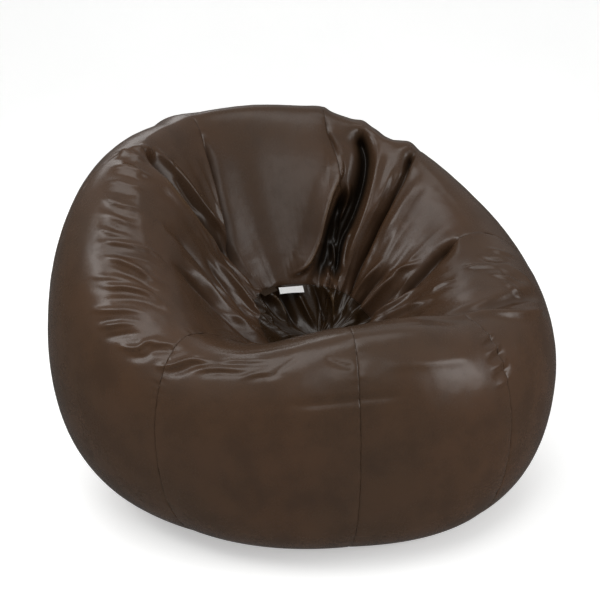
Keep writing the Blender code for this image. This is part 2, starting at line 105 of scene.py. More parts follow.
CURVE_A, CURVE_B, CURVE_C, CURVE_D = 0.62, 0.60, 0.55, 0.55




# ------------------------------------------------------------------- surface
def ring(values, deg):
    """Smooth curve round the chair through one value per seam."""
    n = len(SEAM_DEG)
    knots = np.array([SEAM_DEG[(i - 2) % n] + 360.0 * ((i - 2) // n) for i in range(n + 5)])
    v = np.array([values[(i - 2) % n] for i in range(n + 5)])
    a = np.asarray(deg, float)
    a = (a - knots[1]) % 360.0 + knots[1]
    i = np.clip(np.searchsorted(knots, a, side="right") - 1, 1, n + 2)
    h = knots[i + 1] - knots[i]
    t = (a - knots[i]) / h
    m0 = (v[i + 1] - v[i - 1]) / (knots[i + 1] - knots[i - 1]) * h
    m1 = (v[i + 2] - v[i]) / (knots[i + 2] - knots[i]) * h
    t2, t3 = t * t, t * t * t
    return (2 * t3 - 3 * t2 + 1) * v[i] + (t3 - 2 * t2 + t) * m0 + (3 * t2 - 2 * t3) * v[i + 1] + (t3 - t2) * m1


def bezier(a, b, c, d, t):
    s = 1 - t
    return s**3 * a + 3 * s * s * t * b + 3 * s * t * t * c + t**3 * d


def base_surface(deg, u):
    """u: -1 edge of the base, 0 leaves the floor, 1 belly, 2 crest, 3 seat centre."""
    deg, u = np.broadcast_arrays(np.asarray(deg, float), np.asarray(u, float))
    r0, rb, zb = ring(CONTACT_R, deg), ring(BELLY_R, deg), ring(BELLY_Z, deg)
    off_front = (deg + 180.0) % 360.0 - 180.0
    rc = ring(CREST_R, deg)
    zc = ring(CREST_Z, deg) + LIP_RISE * np.exp(-((off_front / LIP_SPREAD) ** 2))
    k1, k2 = ring(ROUND_IN, deg), ring(ROUND_OUT, deg)
    way = np.stack([np.sin(np.radians(deg)), -np.cos(np.radians(deg))], -1)
    t = np.clip(u + 1, 0, 1)
    r_floor = BASE_R + (r0 - BASE_R) * t
    t = np.clip(u, 0, 1)
    r_low = bezier(r0, r0 + CURVE_A * (rb - r0), rb, rb, t)
    z_low = bezier(0, 0, zb * (1 - CURVE_B), zb, t)
    t = np.clip(u - 1, 0, 1)
    r_up = bezier(rb, rb, rc + CURVE_D * (rb - rc), rc, t)
    z_up = bezier(zb, zb + CURVE_C * (zc - zb), zc, zc, t)
    t = np.clip(u - 2, 0, 1)
    rho = bezier(1, 1 - k1, k2, 0, t)
    z_in = bezier(zc, zc, SEAT_Z, SEAT_Z, t)
    seat = np.array([SEAT_X, SEAT_Y])
    plan_in = seat + (way * rc[..., None] - seat) * rho[..., None]
    r = np.where(u <= 0, r_floor, np.where(u <= 1, r_low, r_up))
    z = np.where(u <= 0, 0.0, np.where(u <= 1, z_low, z_up))
    plan = np.where((u > 2)[..., None], plan_in, way * r[..., None])
    return np.concatenate([plan, np.where(u > 2, z_in, z)[..., None]], -1)


def surface_normal(deg, u):
    u = np.asarray(u, float)
    e = 0.02
    up = base_surface(deg, np.minimum(u + e, 2.98)) - base_surface(deg, np.minimum(u, 2.98) - e)
    round_ = base_surface(np.asarray(deg) + 0.5, np.minimum(u, 2.97)) - base_surface(
        np.asarray(deg) - 0.5, np.minimum(u, 2.97)
    )
    n = np.cross(round_, up)
    n = n / np.maximum(np.linalg.norm(n, axis=-1, keepdims=True), 1e-12)
    return np.where((u <= 0)[..., None], np.array([0.0, 0.0, -1.0]), n)


def seam_lines(u):
    """Azimuth of each of the eight seams at these heights along the cover."""
    u = np.asarray(u, float)
    return np.stack([SEAM_DEG[k] + (np.interp(u, WANDER_U, WANDER[k]) if k in WANDER else 0.0 * u) for k in range(8)], -1)


def seam_place(deg, u):
    """Which panel a point lies on, and how far across it, 0 to 1."""
    deg, u = np.broadcast_arrays(np.asarray(deg, float), np.asarray(u, float))
    edges = seam_lines(u)
    edges = np.concatenate([edges, edges[..., :1] + 360.0], -1)
    a = (deg - edges[..., 0]) % 360.0 + edges[..., 0]
    i = np.clip((a[..., None] >= edges).sum(-1) - 1, 0, 7)
    start = np.take_along_axis(edges, i[..., None], -1)[..., 0]
    end = np.take_along_axis(edges, i[..., None] + 1, -1)[..., 0]
    return i, np.clip((a - start) / (end - start), 0, 1)


def puff(deg, u):
    """How far a panel stands out between its two seams."""
    high = np.interp(u, (-1, 0, 0.5, 1.0, 1.6, 2.0, 2.3, 2.6, 3.0), (0, 0, 0.004, 0.006, 0.003, -0.003, 0.006, 0.010, 0.0))
    return high * np.sin(np.pi * seam_place(deg, u)[1]) ** 0.8


def seat_surface(deg, u, inside=0.0):
    """The cover's outer face, or a face that lies this far inside it."""
    deg, u = np.broadcast_arrays(np.asarray(deg, float), np.asarray(u, float))
    return base_surface(deg, u) + surface_normal(deg, u) * (puff(deg, u) - inside)[..., None]


_deg, _u = np.meshgrid(np.arange(0.0, 360.0, 1.5), np.linspace(0, 3, 61), indexing="ij")
_all = seat_surface(_deg, _u)[..., :2].reshape(-1, 2)
SHIFT = np.append(-(_all.min(0) + _all.max(0)) / 2, 0.0)  # puts the origin under the middle


# ---------------------------------------------------------------------- folds
# Each fold runs along points (degrees round the chair, height along the cover)
# and has a width to its left and right and a height, in metres. A "ridge" is a
# rounded roll, a "valley" a sharp crease, and a "trough" a wide hollow.
FOLDS = []


def fold(kind, points, width, height, ends=(0.25, 0.25)):
    left, right = width if isinstance(width, tuple) else (width, width)
    FOLDS.append((kind, points, left, right, height, ends))


# corners where the taut panels meet along the crest of the back
fold("ridge", [(204, 1.55), (202, 1.82), (200, 2.05)], (0.050, 0.034), 0.011, (0.5, 0.5))
fold("ridge", [(143, 1.70), (141.5, 1.95), (139, 2.08)], (0.014, 0.034), 0.006, (0.5, 0.4))
fold("ridge", [(128, 1.70), (126, 1.92), (122.5, 2.06)], (0.016, 0.016), 0.006, (0.5, 0.4))
fold("ridge", [(109, 1.72), (108.5, 1.95), (104, 2.08)], (0.018, 0.014), 0.007, (0.5, 0.4))
fold("trough", [(117, 1.72), (116, 1.95), (114, 2.08)], 0.022, -0.006, (0.5, 0.4))
# left arm over the back: the deep valley between them and the rolls beside it
fold("valley", [(237.5, 2.06), (237.5, 2.14), (237, 2.25), (235, 2.35), (231, 2.44), (226, 2.51), (222, 2.58), (223, 2.65)], (0.016, 0.0065), -0.036, (0.13, 0.2))
fold("ridge", [(243, 2.04), (243, 2.14), (243, 2.25), (241.5, 2.35), (238, 2.44), (234, 2.51), (231, 2.58)], (0.013, 0.024), 0.014, (0.25, 0.3))
fold("ridge", [(231.5, 2.08), (231, 2.17), (228.5, 2.27), (225.5, 2.36), (221.5, 2.44), (216, 2.50), (213, 2.56)], (0.009, 0.006), 0.010, (0.2, 0.3))
fold("valley", [(229, 2.20), (229.5, 2.30), (227, 2.39), (222, 2.46)], (0.005, 0.004), -0.007, (0.3, 0.4))
fold("ridge", [(240, 1.86), (238, 1.94), (236.5, 2.03), (234.5, 2.12), (234, 2.18)], (0.006, 0.010), 0.007, (0.4, 0.4))
# seam at the left of the smooth back panel
fold("valley", [(200.5, 2.12), (202, 2.24), (204.5, 2.32), (207.5, 2.41), (210.5, 2.49), (215, 2.56), (218, 2.63), (219, 2.70)], (0.009, 0.0036), -0.017, (0.25, 0.1))
fold("ridge", [(203.5, 2.20), (206.5, 2.32), (209.5, 2.41), (212.5, 2.49), (216, 2.55)], (0.0045, 0.008), 0.005, (0.3, 0.3))
# smooth back panel's right edge stands over the crumpled panel beside it
fold("valley", [(140, 2.06), (138, 2.17), (135, 2.22), (131.5, 2.28)], (0.0030, 0.0040), -0.004, (0.3, 0.3))
fold("ridge", [(131, 2.25), (129.5, 2.31), (131.5, 2.36), (134.5, 2.41), (138.5, 2.49), (142.5, 2.56), (150, 2.62), (161, 2.655), (180, 2.675)], (0.0050, 0.026), 0.012, (0.15, 0.2))
fold("ridge", [(129.5, 2.31), (131.5, 2.36), (134.5, 2.41), (138.5, 2.49), (142.5, 2.56), (150, 2.62), (161, 2.655), (180, 2.675)], (0.0040, 0.0040), 0.0045, (0.1, 0.25))
fold("trough", [(123, 2.33), (127, 2.42), (131, 2.50), (135, 2.58), (143, 2.66), (155, 2.73)], (0.016, 0.011), -0.030, (0.25, 0.3))
# deepest valley, right of the back
fold("valley", [(123.5, 2.02), (122.5, 2.10), (118.5, 2.22), (117.5, 2.34), (119.5, 2.45), (123, 2.54), (124, 2.62), (127, 2.72)], (0.0070, 0.016), -0.048, (0.1, 0.2))
fold("ridge", [(117.5, 2.10), (113.5, 2.22), (112, 2.36), (113.5, 2.48), (115.5, 2.57), (118, 2.68)], (0.012, 0.008), 0.010, (0.2, 0.3))
fold("ridge", [(125, 2.33), (123.5, 2.39), (125.5, 2.45), (128, 2.50)], (0.0045, 0.0055), 0.016, (0.3, 0.35))
fold("ridge", [(117.5, 2.47), (121, 2.53), (121, 2.59), (118, 2.64)], (0.0045, 0.0050), 0.014, (0.3, 0.35))
fold("ridge", [(131, 2.53), (127.5, 2.58), (124, 2.64)], (0.0045, 0.0060), 0.012, (0.3, 0.4))
fold("ridge", [(138, 2.62), (131, 2.65), (122, 2.70), (116, 2.78)], (0.0050, 0.0060), 0.011, (0.3, 0.4))
# thin straight seam down the right wall, with a notch where it leaves the crest
fold("valley", [(104, 1.98), (102.5, 2.09), (100.8, 2.20), (101.5, 2.33), (103, 2.43), (104.2, 2.52), (105.5, 2.59), (105.5, 2.66), (104, 2.78)], (0.0028, 0.0068), -0.018, (0.06, 0.2))
fold("valley", [(105.5, 1.97), (103, 2.06), (101.5, 2.20)], (0.004, 0.010), -0.012, (0.3, 0.6))
fold("ridge", [(107, 2.14), (106.5, 2.31), (108, 2.43), (110, 2.52)], (0.007, 0.012), 0.006, (0.3, 0.4))
fold("ridge", [(95, 2.06), (94.5, 2.20), (95.5, 2.36), (97.5, 2.50)], (0.020, 0.012), 0.007, (0.3, 0.4))
# right wall: the next seam and the folds that run down into the seat
fold("valley", [(68.3, 2.13), (68, 2.20), (67.5, 2.31), (66, 2.41), (64.5, 2.50), (62.5, 2.60)], (0.014, 0.006), -0.019, (0.25, 0.25))
fold("ridge", [(98, 2.80), (97.5, 2.73), (96, 2.66), (92, 2.58), (88, 2.48)], (0.006, 0.008), 0.012, (0.2, 0.4))
fold("valley", [(88, 2.76), (87.5, 2.68), (85, 2.58), (82, 2.48)], (0.006, 0.006), -0.013, (0.2, 0.4))
fold("ridge", [(78, 2.78), (78, 2.70), (77.5, 2.62), (76.5, 2.54), (74.5, 2.45)], (0.006, 0.007), 0.012, (0.2, 0.4))
fold("valley", [(69, 2.78), (68.5, 2.71), (68.5, 2.63), (69, 2.54), (69.5, 2.45)], (0.006, 0.007), -0.014, (0.2, 0.4))
fold("ridge", [(58, 2.70), (57.5, 2.62), (57, 2.54), (57.5, 2.46), (55.5, 2.38)], (0.005, 0.007), 0.011, (0.2, 0.4))
fold("valley", [(49, 2.68), (48.5, 2.58), (48, 2.48), (48.5, 2.38)], (0.005, 0.006), -0.011, (0.2, 0.4))
fold("ridge", [(41, 2.62), (41, 2.52), (40, 2.42), (39, 2.32)], (0.006, 0.007), 0.009, (0.2, 0.4))
fold("valley", [(32, 2.58), (31.5, 2.46), (31, 2.34)], (0.005, 0.006), -0.008, (0.2, 0.4))
fold("ridge", [(82, 2.56), (78, 2.50), (73, 2.42), (70, 2.36)], (0.005, 0.006), 0.006, (0.4, 0.4))
fold("ridge", [(46.5, 2.20), (47, 2.29), (45, 2.38)], (0.006, 0.006), 0.006, (0.4, 0.4))
# left seat wall: long folds that run down to the seat
fold("valley", [(257.5, 2.14), (258, 2.22), (257.5, 2.34), (258.5, 2.46), (263, 2.56), (270, 2.64)], (0.012, 0.007), -0.010, (0.35, 0.3))
fold("valley", [(268, 2.18), (267.5, 2.30), (269.5, 2.42), (275, 2.51), (284, 2.60), (296, 2.70)], (0.006, 0.011), -0.017, (0.3, 0.25))
fold("ridge", [(263, 2.30), (264.5, 2.42), (269, 2.52), (277, 2.62), (287, 2.72)], (0.006, 0.010), 0.009, (0.35, 0.3))
fold("ridge", [(247, 2.46), (248.5, 2.55), (251.5, 2.63), (258, 2.72), (269, 2.80)], (0.006, 0.006), 0.013, (0.3, 0.3))
fold("valley", [(252, 2.42), (254, 2.53), (259, 2.62), (267, 2.71)], (0.006, 0.006), -0.011, (0.35, 0.3))
fold("ridge", [(270, 2.44), (276, 2.52), (286, 2.60), (297, 2.66)], (0.006, 0.006), 0.008, (0.35, 0.3))
fold("valley", [(238, 2.58), (240.5, 2.66), (247, 2.75), (257, 2.83)], (0.006, 0.006), -0.012, (0.3, 0.3))
fold("ridge", [(229, 2.62), (231, 2.70), (240, 2.77), (250, 2.83)], (0.005, 0.006), 0.011, (0.3, 0.3))
fold("ridge", [(290, 2.44), (298, 2.54), (308, 2.62)], (0.007, 0.008), 0.007, (0.35, 0.3))
# crumpled cap
fold("ridge", [(230, 2.70), (217, 2.70), (206, 2.73), (202, 2.77), (208, 2.82), (220, 2.88)], (0.005, 0.008), 0.016, (0.25, 0.3))
fold("ridge", [(140, 2.68), (126, 2.73), (112, 2.80), (98, 2.90)], (0.007, 0.006), 0.014, (0.3, 0.3))
fold("valley", [(192, 2.69), (190, 2.76), (192, 2.84), (205, 2.92)], (0.007, 0.009), -0.017, (0.3, 0.4))
fold("valley", [(230, 2.75), (236, 2.82), (252, 2.90)], (0.007, 0.008), -0.014, (0.3, 0.4))
fold("ridge", [(172, 2.71), (167, 2.78), (158, 2.86), (140, 2.93)], (0.006, 0.007), 0.012, (0.3, 0.4))
fold("valley", [(153, 2.68), (143, 2.75), (128, 2.84), (105, 2.91)], (0.007, 0.008), -0.016, (0.3, 0.4))
fold("ridge", [(256, 2.74), (266, 2.81), (284, 2.89)], (0.007, 0.008), 0.010, (0.3, 0.4))
fold("valley", [(82, 2.72), (66, 2.80), (30, 2.89)], (0.007, 0.009), -0.011, (0.3, 0.4))
fold("ridge", [(50, 2.68), (34, 2.78), (6, 2.88)], (0.007, 0.008), 0.009, (0.3, 0.4))
fold("valley", [(300, 2.70), (306, 2.79), (322, 2.88)], (0.007, 0.009), -0.010, (0.3, 0.4))
# wrinkles across the left arm, (points, width, height)
ARM = (
    ([(236, 1.84), (238.5, 1.91), (241.5, 2.01), (241.5, 2.12)], 0.0055, 0.0060),
    ([(242, 1.82), (245, 1.92), (247.5, 2.06), (246, 2.18)], 0.0055, 0.0055),
    ([(247, 1.80), (250, 1.90), (252, 2.00), (252, 2.12)], 0.0060, 0.0035),
    ([(250, 1.76), (254.5, 1.85), (257, 1.95), (258.5, 2.09)], 0.0050, 0.0055),
    ([(254, 1.74), (258, 1.84), (260.5, 1.92), (262.5, 2.02)], 0.0050, 0.0060),
    ([(257, 1.70), (261, 1.80), (263, 1.89), (265, 1.97)], 0.0050, 0.0050),
    ([(259, 1.63), (262, 1.75), (264.5, 1.86), (266.5, 1.99), (268, 2.10), (270, 2.19)], 0.0048, 0.0065),
    ([(262.5, 1.66), (265.5, 1.75), (268.5, 1.84), (270.5, 1.91), (273, 1.99), (276, 2.14)], 0.0058, 0.0080),
    ([(263, 1.52), (267, 1.64), (270.5, 1.76), (274, 1.90), (277, 2.02)], 0.0045, 0.0030),
    ([(267, 1.56), (270, 1.66), (272.5, 1.76), (276, 1.90), (279, 2.00), (281.5, 2.06)], 0.0055, 0.0075),
    ([(267, 1.42), (270, 1.49), (273.5, 1.59), (277, 1.71), (281, 1.84)], 0.0050, 0.0045),
    ([(271, 1.40), (274.5, 1.51), (277.5, 1.61), (280.5, 1.70)], 0.0055, 0.0055),
    ([(277, 1.42), (282, 1.53), (283.5, 1.62), (285, 1.70), (288, 1.80)], 0.0055, 0.0050),
    ([(283, 1.60), (287, 1.72), (291, 1.84)], 0.0050, 0.0040),
    ([(287, 1.50), (291.5, 1.59), (295, 1.71), (297.5, 1.75), (302.5, 1.73)], 0.0055, 0.0065),
    ([(296, 1.60), (301, 1.68), (306.5, 1.69), (312, 1.66)], 0.0050, 0.0050),
    ([(300, 1.76), (306, 1.80), (313, 1.78), (319, 1.74)], 0.0055, 0.0045),
    ([(308, 1.60), (313, 1.64), (319, 1.62)], 0.0045, 0.0030),
)
for points, w, h in ARM:
    fold("ridge", points, (w, 0.7 * w), h, (0.35, 0.45))
    fold("ridge", [(a + 2.1, b - 0.02) for a, b in points], (0.8 * w, 1.3 * w), -0.55 * h, (0.35, 0.45))
# right arm: the sharp fold that ends the front lip, and fine creases above it
fold("ridge", [(351.5, 2.10), (2, 2.12), (10.5, 2.10), (18, 2.04), (25.5, 1.94), (35.5, 1.68), (49.5, 1.42)], (0.006, 0.010), 0.008, (0.3, 0.1))
fold("trough", [(14, 2.20), (24, 2.10), (35, 1.84), (47, 1.60), (56, 1.44)], (0.016, 0.010), -0.011, (0.35, 0.3))
for r_deg, r_u, r_h in ((50.5, 2.02, 0.0050), (46.5, 1.86, 0.0050), (43.5, 1.74, 0.0045), (54, 1.92, -0.0045), (49, 1.78, -0.0045), (58, 1.84, 0.0040), (52, 1.70, 0.0040)):
    fold("ridge", [(r_deg + 3, r_u + 0.17), (r_deg + 1, r_u + 0.05), (r_deg + 2, r_u - 0.15)], (0.006, 0.005), r_h, (0.4, 0.4))
# front: faint creases and the puckers along the right-hand seam
fold("ridge", [(315, 1.58), (319, 1.68), (323.5, 1.78)], 0.005, -0.0024)
fold("ridge", [(319, 1.38), (330, 1.37), (340, 1.375), (350, 1.37)], 0.007, -0.0018)
fold("ridge", [(329, 1.70), (333, 1.62), (337, 1.58)], 0.004, -0.0020)
fold("ridge", [(343, 1.60), (350, 1.565), (2, 1.55), (12, 1.56)], 0.010, 0.0018)
for p_u, p_h in ((1.34, 0.0022), (1.40, -0.0030), (1.46, 0.0032), (1.52, -0.0036), (1.58, 0.0036), (1.645, -0.0034), (1.70, 0.0028)):
    fold("ridge", [(14.0, p_u - 0.014), (18.8, p_u), (23.0, p_u + 0.014)], 0.0038, p_h, (0.45, 0.4))


def smoothstep(t):
    t = np.clip(t, 0, 1)
    return t * t * (3 - 2 * t)


def place(deg, u):
    return base_surface(deg, u) + surface_normal(deg, u) * puff(deg, u)[..., None]


def fold_line(points):
    """The fold's line on the cover: points and normals, closely spaced."""
    deg = np.array([p[0] for p in points], float)
    deg = np.degrees(np.unwrap(np.radians(deg)))
    u = np.array([p[1] for p in points], float)
    fine = np.linspace(0, len(points) - 1, 6 * (len(points) - 1) + 1)

    def through(v):
        m = np.gradient(v)
        i = np.minimum(fine.astype(int), len(v) - 2)
        s = fine - i
        return (2 * s**3 - 3 * s**2 + 1) * v[i] + (s**3 - 2 * s**2 + s) * m[i] + (3 * s**2 - 2 * s**3) * v[i + 1] + (s**3 - s**2) * m[i + 1]

    d, v = through(deg), through(u)
    return place(d, v), surface_normal(d, v)


LINES = [(kind, *fold_line(points), left, right, height, ends) for kind, points, left, right, height, ends in FOLDS]


def across(x, kind, width):
    if kind == "ridge":
        return np.exp(-((x / width) ** 2))
    if kind == "valley":
        # a crease with a small rounded bottom
        return np.exp(-(np.sqrt(x * x + (0.22 * width) ** 2) - 0.22 * width) / width)
    return np.exp(-np.abs(x / width) ** 3)


def fold_height(points):
    """How far the folds move each point along its normal."""
    total = np.zeros(len(points))
    for kind, line, ups, left, right, height, ends in LINES:
        reach = max(left, right) * (4.6 if kind == "valley" else 2.6)
        lo, hi = line.min(0) - reach, line.max(0) + reach
        near = np.nonzero(((points > lo) & (points < hi)).all(1))[0]
        if not len(near):
            continue
        p = points[near]
        ab = line[1:] - line[:-1]
        length = np.linalg.norm(ab, axis=1)
        along = np.concatenate([[0], np.cumsum(length)])
        best = np.full(len(p), 1e9)
        at = np.zeros(len(p))
        turn = np.zeros(len(p))
        for k in range(len(ab)):
            t = np.clip(((p - line[k]) @ ab[k]) / (length[k] ** 2), 0, 1)
            off = p - line[k] - t[:, None] * ab[k]
            d = np.linalg.norm(off, axis=1)
            better = d < best
            best = np.where(better, d, best)
            at = np.where(better, along[k] + t * length[k], at)
            turn = np.where(better, off @ np.cross(ab[k] / length[k], ups[k]), turn)
        at = at / along[-1]
        taper = smoothstep(at / max(ends[0], 1e-3)) * smoothstep((1 - at) / max(ends[1], 1e-3))
        side = smoothstep(turn / 0.004 * 0.5 + 0.5)
        total[near] += height * taper * across(best, kind, left + (right - left) * side)
    return total


def soft_noise(points, scale, seed):
    offset = Vector((seed * 13.7, seed * 7.3, seed * 3.1))
    return np.array([noise.noise(Vector(p) * scale + offset) for p in points])


def skin_height(deg, u, fine=True):
    """The cover's height over its plain surface, in metres, at flat arrays."""
    base = place(deg, u)
    height = fold_height(base)
    # slack cloth: soft, uneven swells, more in the seat than outside
    slack = np.interp(u, (-1, 0.2, 1.0, 1.7, 2.1, 2.6, 3.0), (0, 0.0, 0.0008, 0.0016, 0.0022, 0.0026, 0.0020))
    if fine:
        stretched = base * np.array([1.0, 1.0, 0.45])
        quiet = 1 - 0.7 * (1 - smoothstep((np.abs((deg - 172.0 + 180.0) % 360.0 - 180.0) - 28.0) / 10.0)) * smoothstep((u - 1.9) / 0.2)
        height = height + quiet * slack * soft_noise(stretched, 12.0, 1.0)
        height = height + 0.22 * quiet * slack * soft_noise(base, 42.0, 2.0)
        # gathers that run down the seat's walls, less on the smooth back panel
        calm = smoothstep((np.abs((deg - 175.0 + 180.0) % 360.0 - 180.0) - 26.0) / 14.0)
        gather = np.interp(u, (2.15, 2.40, 2.62, 2.72, 3.0), (0, 0.0022, 0.0045, 0.0060, 0.0040)) * (0.05 + 0.95 * calm)
        a = np.radians(deg)
        run = soft_noise(np.stack([7.5 * np.sin(a), 7.5 * np.cos(a), 1.6 * u], -1), 1.0, 7.0)
        run2 = soft_noise(np.stack([17.0 * np.sin(a), 17.0 * np.cos(a), 3.0 * u], -1), 1.0, 8.0)
        height = height + gather * (0.55 - 2.1 * np.abs(run)) + 0.35 * gather * run2
    # sewn seams are drawn in a little
    i, s = seam_place(deg, u)
    edges = seam_lines(u)
    edges = np.concatenate([edges, edges[..., :1] + 360.0], -1)
    span = np.take_along_axis(edges, i[..., None] + 1, -1)[..., 0] - np.take_along_axis(edges, i[..., None], -1)[..., 0]
    seat = np.array([SEAT_X, SEAT_Y, 0.0])
    from_mid = np.where(u > 2, np.linalg.norm((base - seat)[:, :2], axis=1), np.linalg.norm(base[:, :2], axis=1))
    away = np.minimum(s, 1 - s) * np.radians(span) * from_mid
    drawn = np.interp(u, (-1, 0.0, 0.4, 2.0, 2.69, 2.70, 3.0), (0.0004, 0.0006, 0.0008, 0.0010, 0.0010, 0.0, 0.0))
    height = height - drawn * np.exp(-away / 0.0028)
    # and so is the round seam between the panels and the cap
    height = height - 0.0010 * np.exp(-np.abs(u - 2.7) * 0.30 / 0.003)
    if fine:
        pucker = soft_noise(np.stack([u * 26.0 + i * 9.0, s * 3.0, i * 5.0], -1), 1.0, 4.0)
        height = height + 0.0011 * pucker * np.exp(-((away / 0.012) ** 2)) * (drawn > 0.0007)
    return height


def skin(deg, u, inside=0.0, fine=True):
    shape = np.broadcast(np.asarray(deg), np.asarray(u)).shape
    d = np.broadcast_to(np.asarray(deg, float), shape).ravel()
    v = np.broadcast_to(np.asarray(u, float), shape).ravel()
    out = place(d, v) + surface_normal(d, v) * (skin_height(d, v, fine) - inside)[:, None]
    low = v <= 0.12
    out[low, 2] = np.maximum(out[low, 2], inside if inside > 0 else 0.0)
    return out.reshape(shape + (3,)) + SHIFT


# --------------------------------------------------------------- mesh helpers
def new_mesh(name, points, quads, tris=(), sharp=None):
    """A mesh object from arrays, shaded smooth but for the edges in sharp."""
    points = np.ascontiguousarray(points, np.float32)
    quads = np.asarray(quads, np.int32).reshape(-1, 4)
    tris = np.asarray(tris, np.int32).reshape(-1, 3)
    mesh = bpy.data.meshes.new(name)
    mesh.vertices.add(len(points))
    mesh.vertices.foreach_set("co", points.ravel())
    loops = np.concatenate([quads.ravel(), tris.ravel()])
    mesh.loops.add(len(loops))
    mesh.loops.foreach_set("vertex_index", loops)
    starts = np.concatenate([np.arange(len(quads)) * 4, len(quads) * 4 + np.arange(len(tris)) * 3])
    mesh.polygons.add(len(starts))
    mesh.polygons.foreach_set("loop_start", starts.astype(np.int32))
    mesh.update(calc_edges=True)
    mesh.validate()
    mesh.shade_smooth()
    if sharp is not None:
        ends = np.empty(len(mesh.edges) * 2, np.int32)
        mesh.edges.foreach_get("vertices", ends)
        ends = ends.reshape(-1, 2)
        flag = (sharp[ends[:, 0]] > 0) & (sharp[ends[:, 0]] == sharp[ends[:, 1]])
        attribute = mesh.attributes.new("sharp_edge", "BOOLEAN", "EDGE")
        attribute.data.foreach_set("value", flag)
    obj = bpy.data.objects.new(name, mesh)
    bpy.context.scene.collection.objects.link(obj)
    return obj


def grid_quads(rows, cols, first=0, closed=False):
    at = first + np.arange(rows * cols).reshape(rows, cols)
    if closed:
        at = np.concatenate([at, at[:, :1]], 1)
    return np.stack([at[:-1, :-1], at[:-1, 1:], at[1:, 1:], at[1:, :-1]], -1).reshape(-1, 4)


def cloth(name, outer, inner):
    """A closed sheet of two grids of points, outer facing out."""
    rows, cols = outer.shape[:2]
    n = rows * cols
    at = np.arange(n).reshape(rows, cols)
    edge = np.concatenate([at[0], at[1:, -1], at[-1, -2::-1], at[-2:0:-1, 0]])
    after = np.roll(edge, -1)
    wall = np.stack([after, edge, edge + n, after + n], -1)
    quads = np.concatenate([grid_quads(rows, cols), grid_quads(rows, cols, n)[:, ::-1], wall])
    sharp = np.zeros(2 * n, np.int8)
    sharp[edge] = 1
    sharp[edge + n] = 2
    return new_mesh(name, np.concatenate([outer.reshape(-1, 3), inner.reshape(-1, 3)]), quads, sharp=sharp)


def float_attribute(obj, name, values):
    attribute = obj.data.attributes.new(name, "FLOAT", "POINT")
    attribute.data.foreach_set("value", np.asarray(values, np.float32))


# ---------------------------------------------------------------- the cover
SPACING = 0.0038
EDGE_COLUMNS = (0.0, 0.0005, 0.0013, 0.0026, 0.0042, 0.0065)
THICK = 0.0020


def rows_between(deg, u0, u1, spacing):
    """Heights u0 to u1 that lie about this far apart on the cover at deg."""
    fine = np.linspace(u0, u1, 600)
    p = place(np.full(600, float(deg)), fine)
    run = np.concatenate([[0], np.cumsum(np.linalg.norm(np.diff(p, axis=0), axis=1))])
    count = max(int(run[-1] / spacing), 4)
    return np.interp(np.linspace(0, run[-1], count + 1), run, fine)


def metres_per_degree(deg, u):
    a = base_surface(deg - 0.5, np.minimum(u, 2.97))
    b = base_surface(deg + 0.5, np.minimum(u, 2.97))
    return np.maximum(np.linalg.norm(b - a, axis=-1), 1e-5)


PANELS = (
    "side_panel_front_right",
    "side_panel_right",
    "side_panel_back_right",
    "side_panel_back",
    "side_panel_back_left",
    "side_panel_left",
    "side_panel_front_left",
    "side_panel_front",
)


def panel_grid(k):
    middle = (SEAM_DEG[k] + SEAM_DEG[(k + 1) % 8] + (360.0 if k == 7 else 0.0)) / 2
    rows = rows_between(middle, -1.0, CAP_AT + 2, SPACING)
    # closer rows where the panel meets the cap and the base
    last = rows[-1] + 0.0007 / 0.30 - np.array([0.0052, 0.0032, 0.0016, 0.0]) / 0.30
    rows = np.concatenate([[-1.0, -0.985], rows[rows > -0.97]])
    rows = np.concatenate([rows[rows < last[0] - 0.008], last])
    lines = seam_lines(rows)
    start, end = lines[:, k], lines[:, (k + 1) % 8] + (360.0 if k == 7 else 0.0)
    per0, per1 = metres_per_degree(start, rows), metres_per_degree(end, rows)
    belly = float(np.interp(1.0, rows, metres_per_degree((start + end) / 2, rows)))
    count = max(int((end[0] - start[0]) * belly / SPACING), 8)
    offsets = np.array(EDGE_COLUMNS) + 0.00012
    left = start[:, None] + offsets[None] / per0[:, None]
    right = end[:, None] - offsets[None, ::-1] / per1[:, None]
    t = np.linspace(0, 1, count + 1)[1:-1]
    inner = left[:, -1:] + (right[:, :1] - left[:, -1:]) * t[None]
    deg = np.concatenate([left, inner, right], 1)
    return deg, np.repeat(rows[:, None], deg.shape[1], 1)


def sheet_area(points):
    a = points[1:, :-1] - points[:-1, :-1]
    b = points[:-1, 1:] - points[:-1, :-1]
    return float(np.linalg.norm(np.cross(a, b), axis=-1).sum())


cover = {}
for k, name in enumerate(PANELS):
    deg, u = panel_grid(k)
    outer = skin(deg, u)
    inner = skin(deg, u, inside=THICK)
    # the cloth turns in at its sewn edges
    for j in (0, -1):
        inward = inner[:, j] - outer[:, j]
        outer[:, j] += inward * 0.16
    outer[-1] += (inner[-1] - outer[-1]) * 0.15
    outer[:, :, 2] = np.maximum(outer[:, :, 2], 0.0)
    obj = cloth(name + "_vinyl", outer, inner)
    lift = skin_height(deg.ravel(), u.ravel(), False)
    edge = np.zeros(deg.shape)
    edge[:, :3] = 1
    edge[:, -3:] = 1
    edge[-3:] = 1
    float_attribute(obj, "crease", np.concatenate([lift, lift]))
    float_attribute(obj, "sewn", np.concatenate([edge.ravel(), edge.ravel()]))
    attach(obj, "bag")
    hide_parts(name)
    cover[name] = obj
    print("AREA", name, round(sheet_area(skin(deg, u, fine=False) * 1.0), 4), "flat", round(sheet_area(place(deg, u)), 4), "tris", 2 * len(obj.data.polygons))


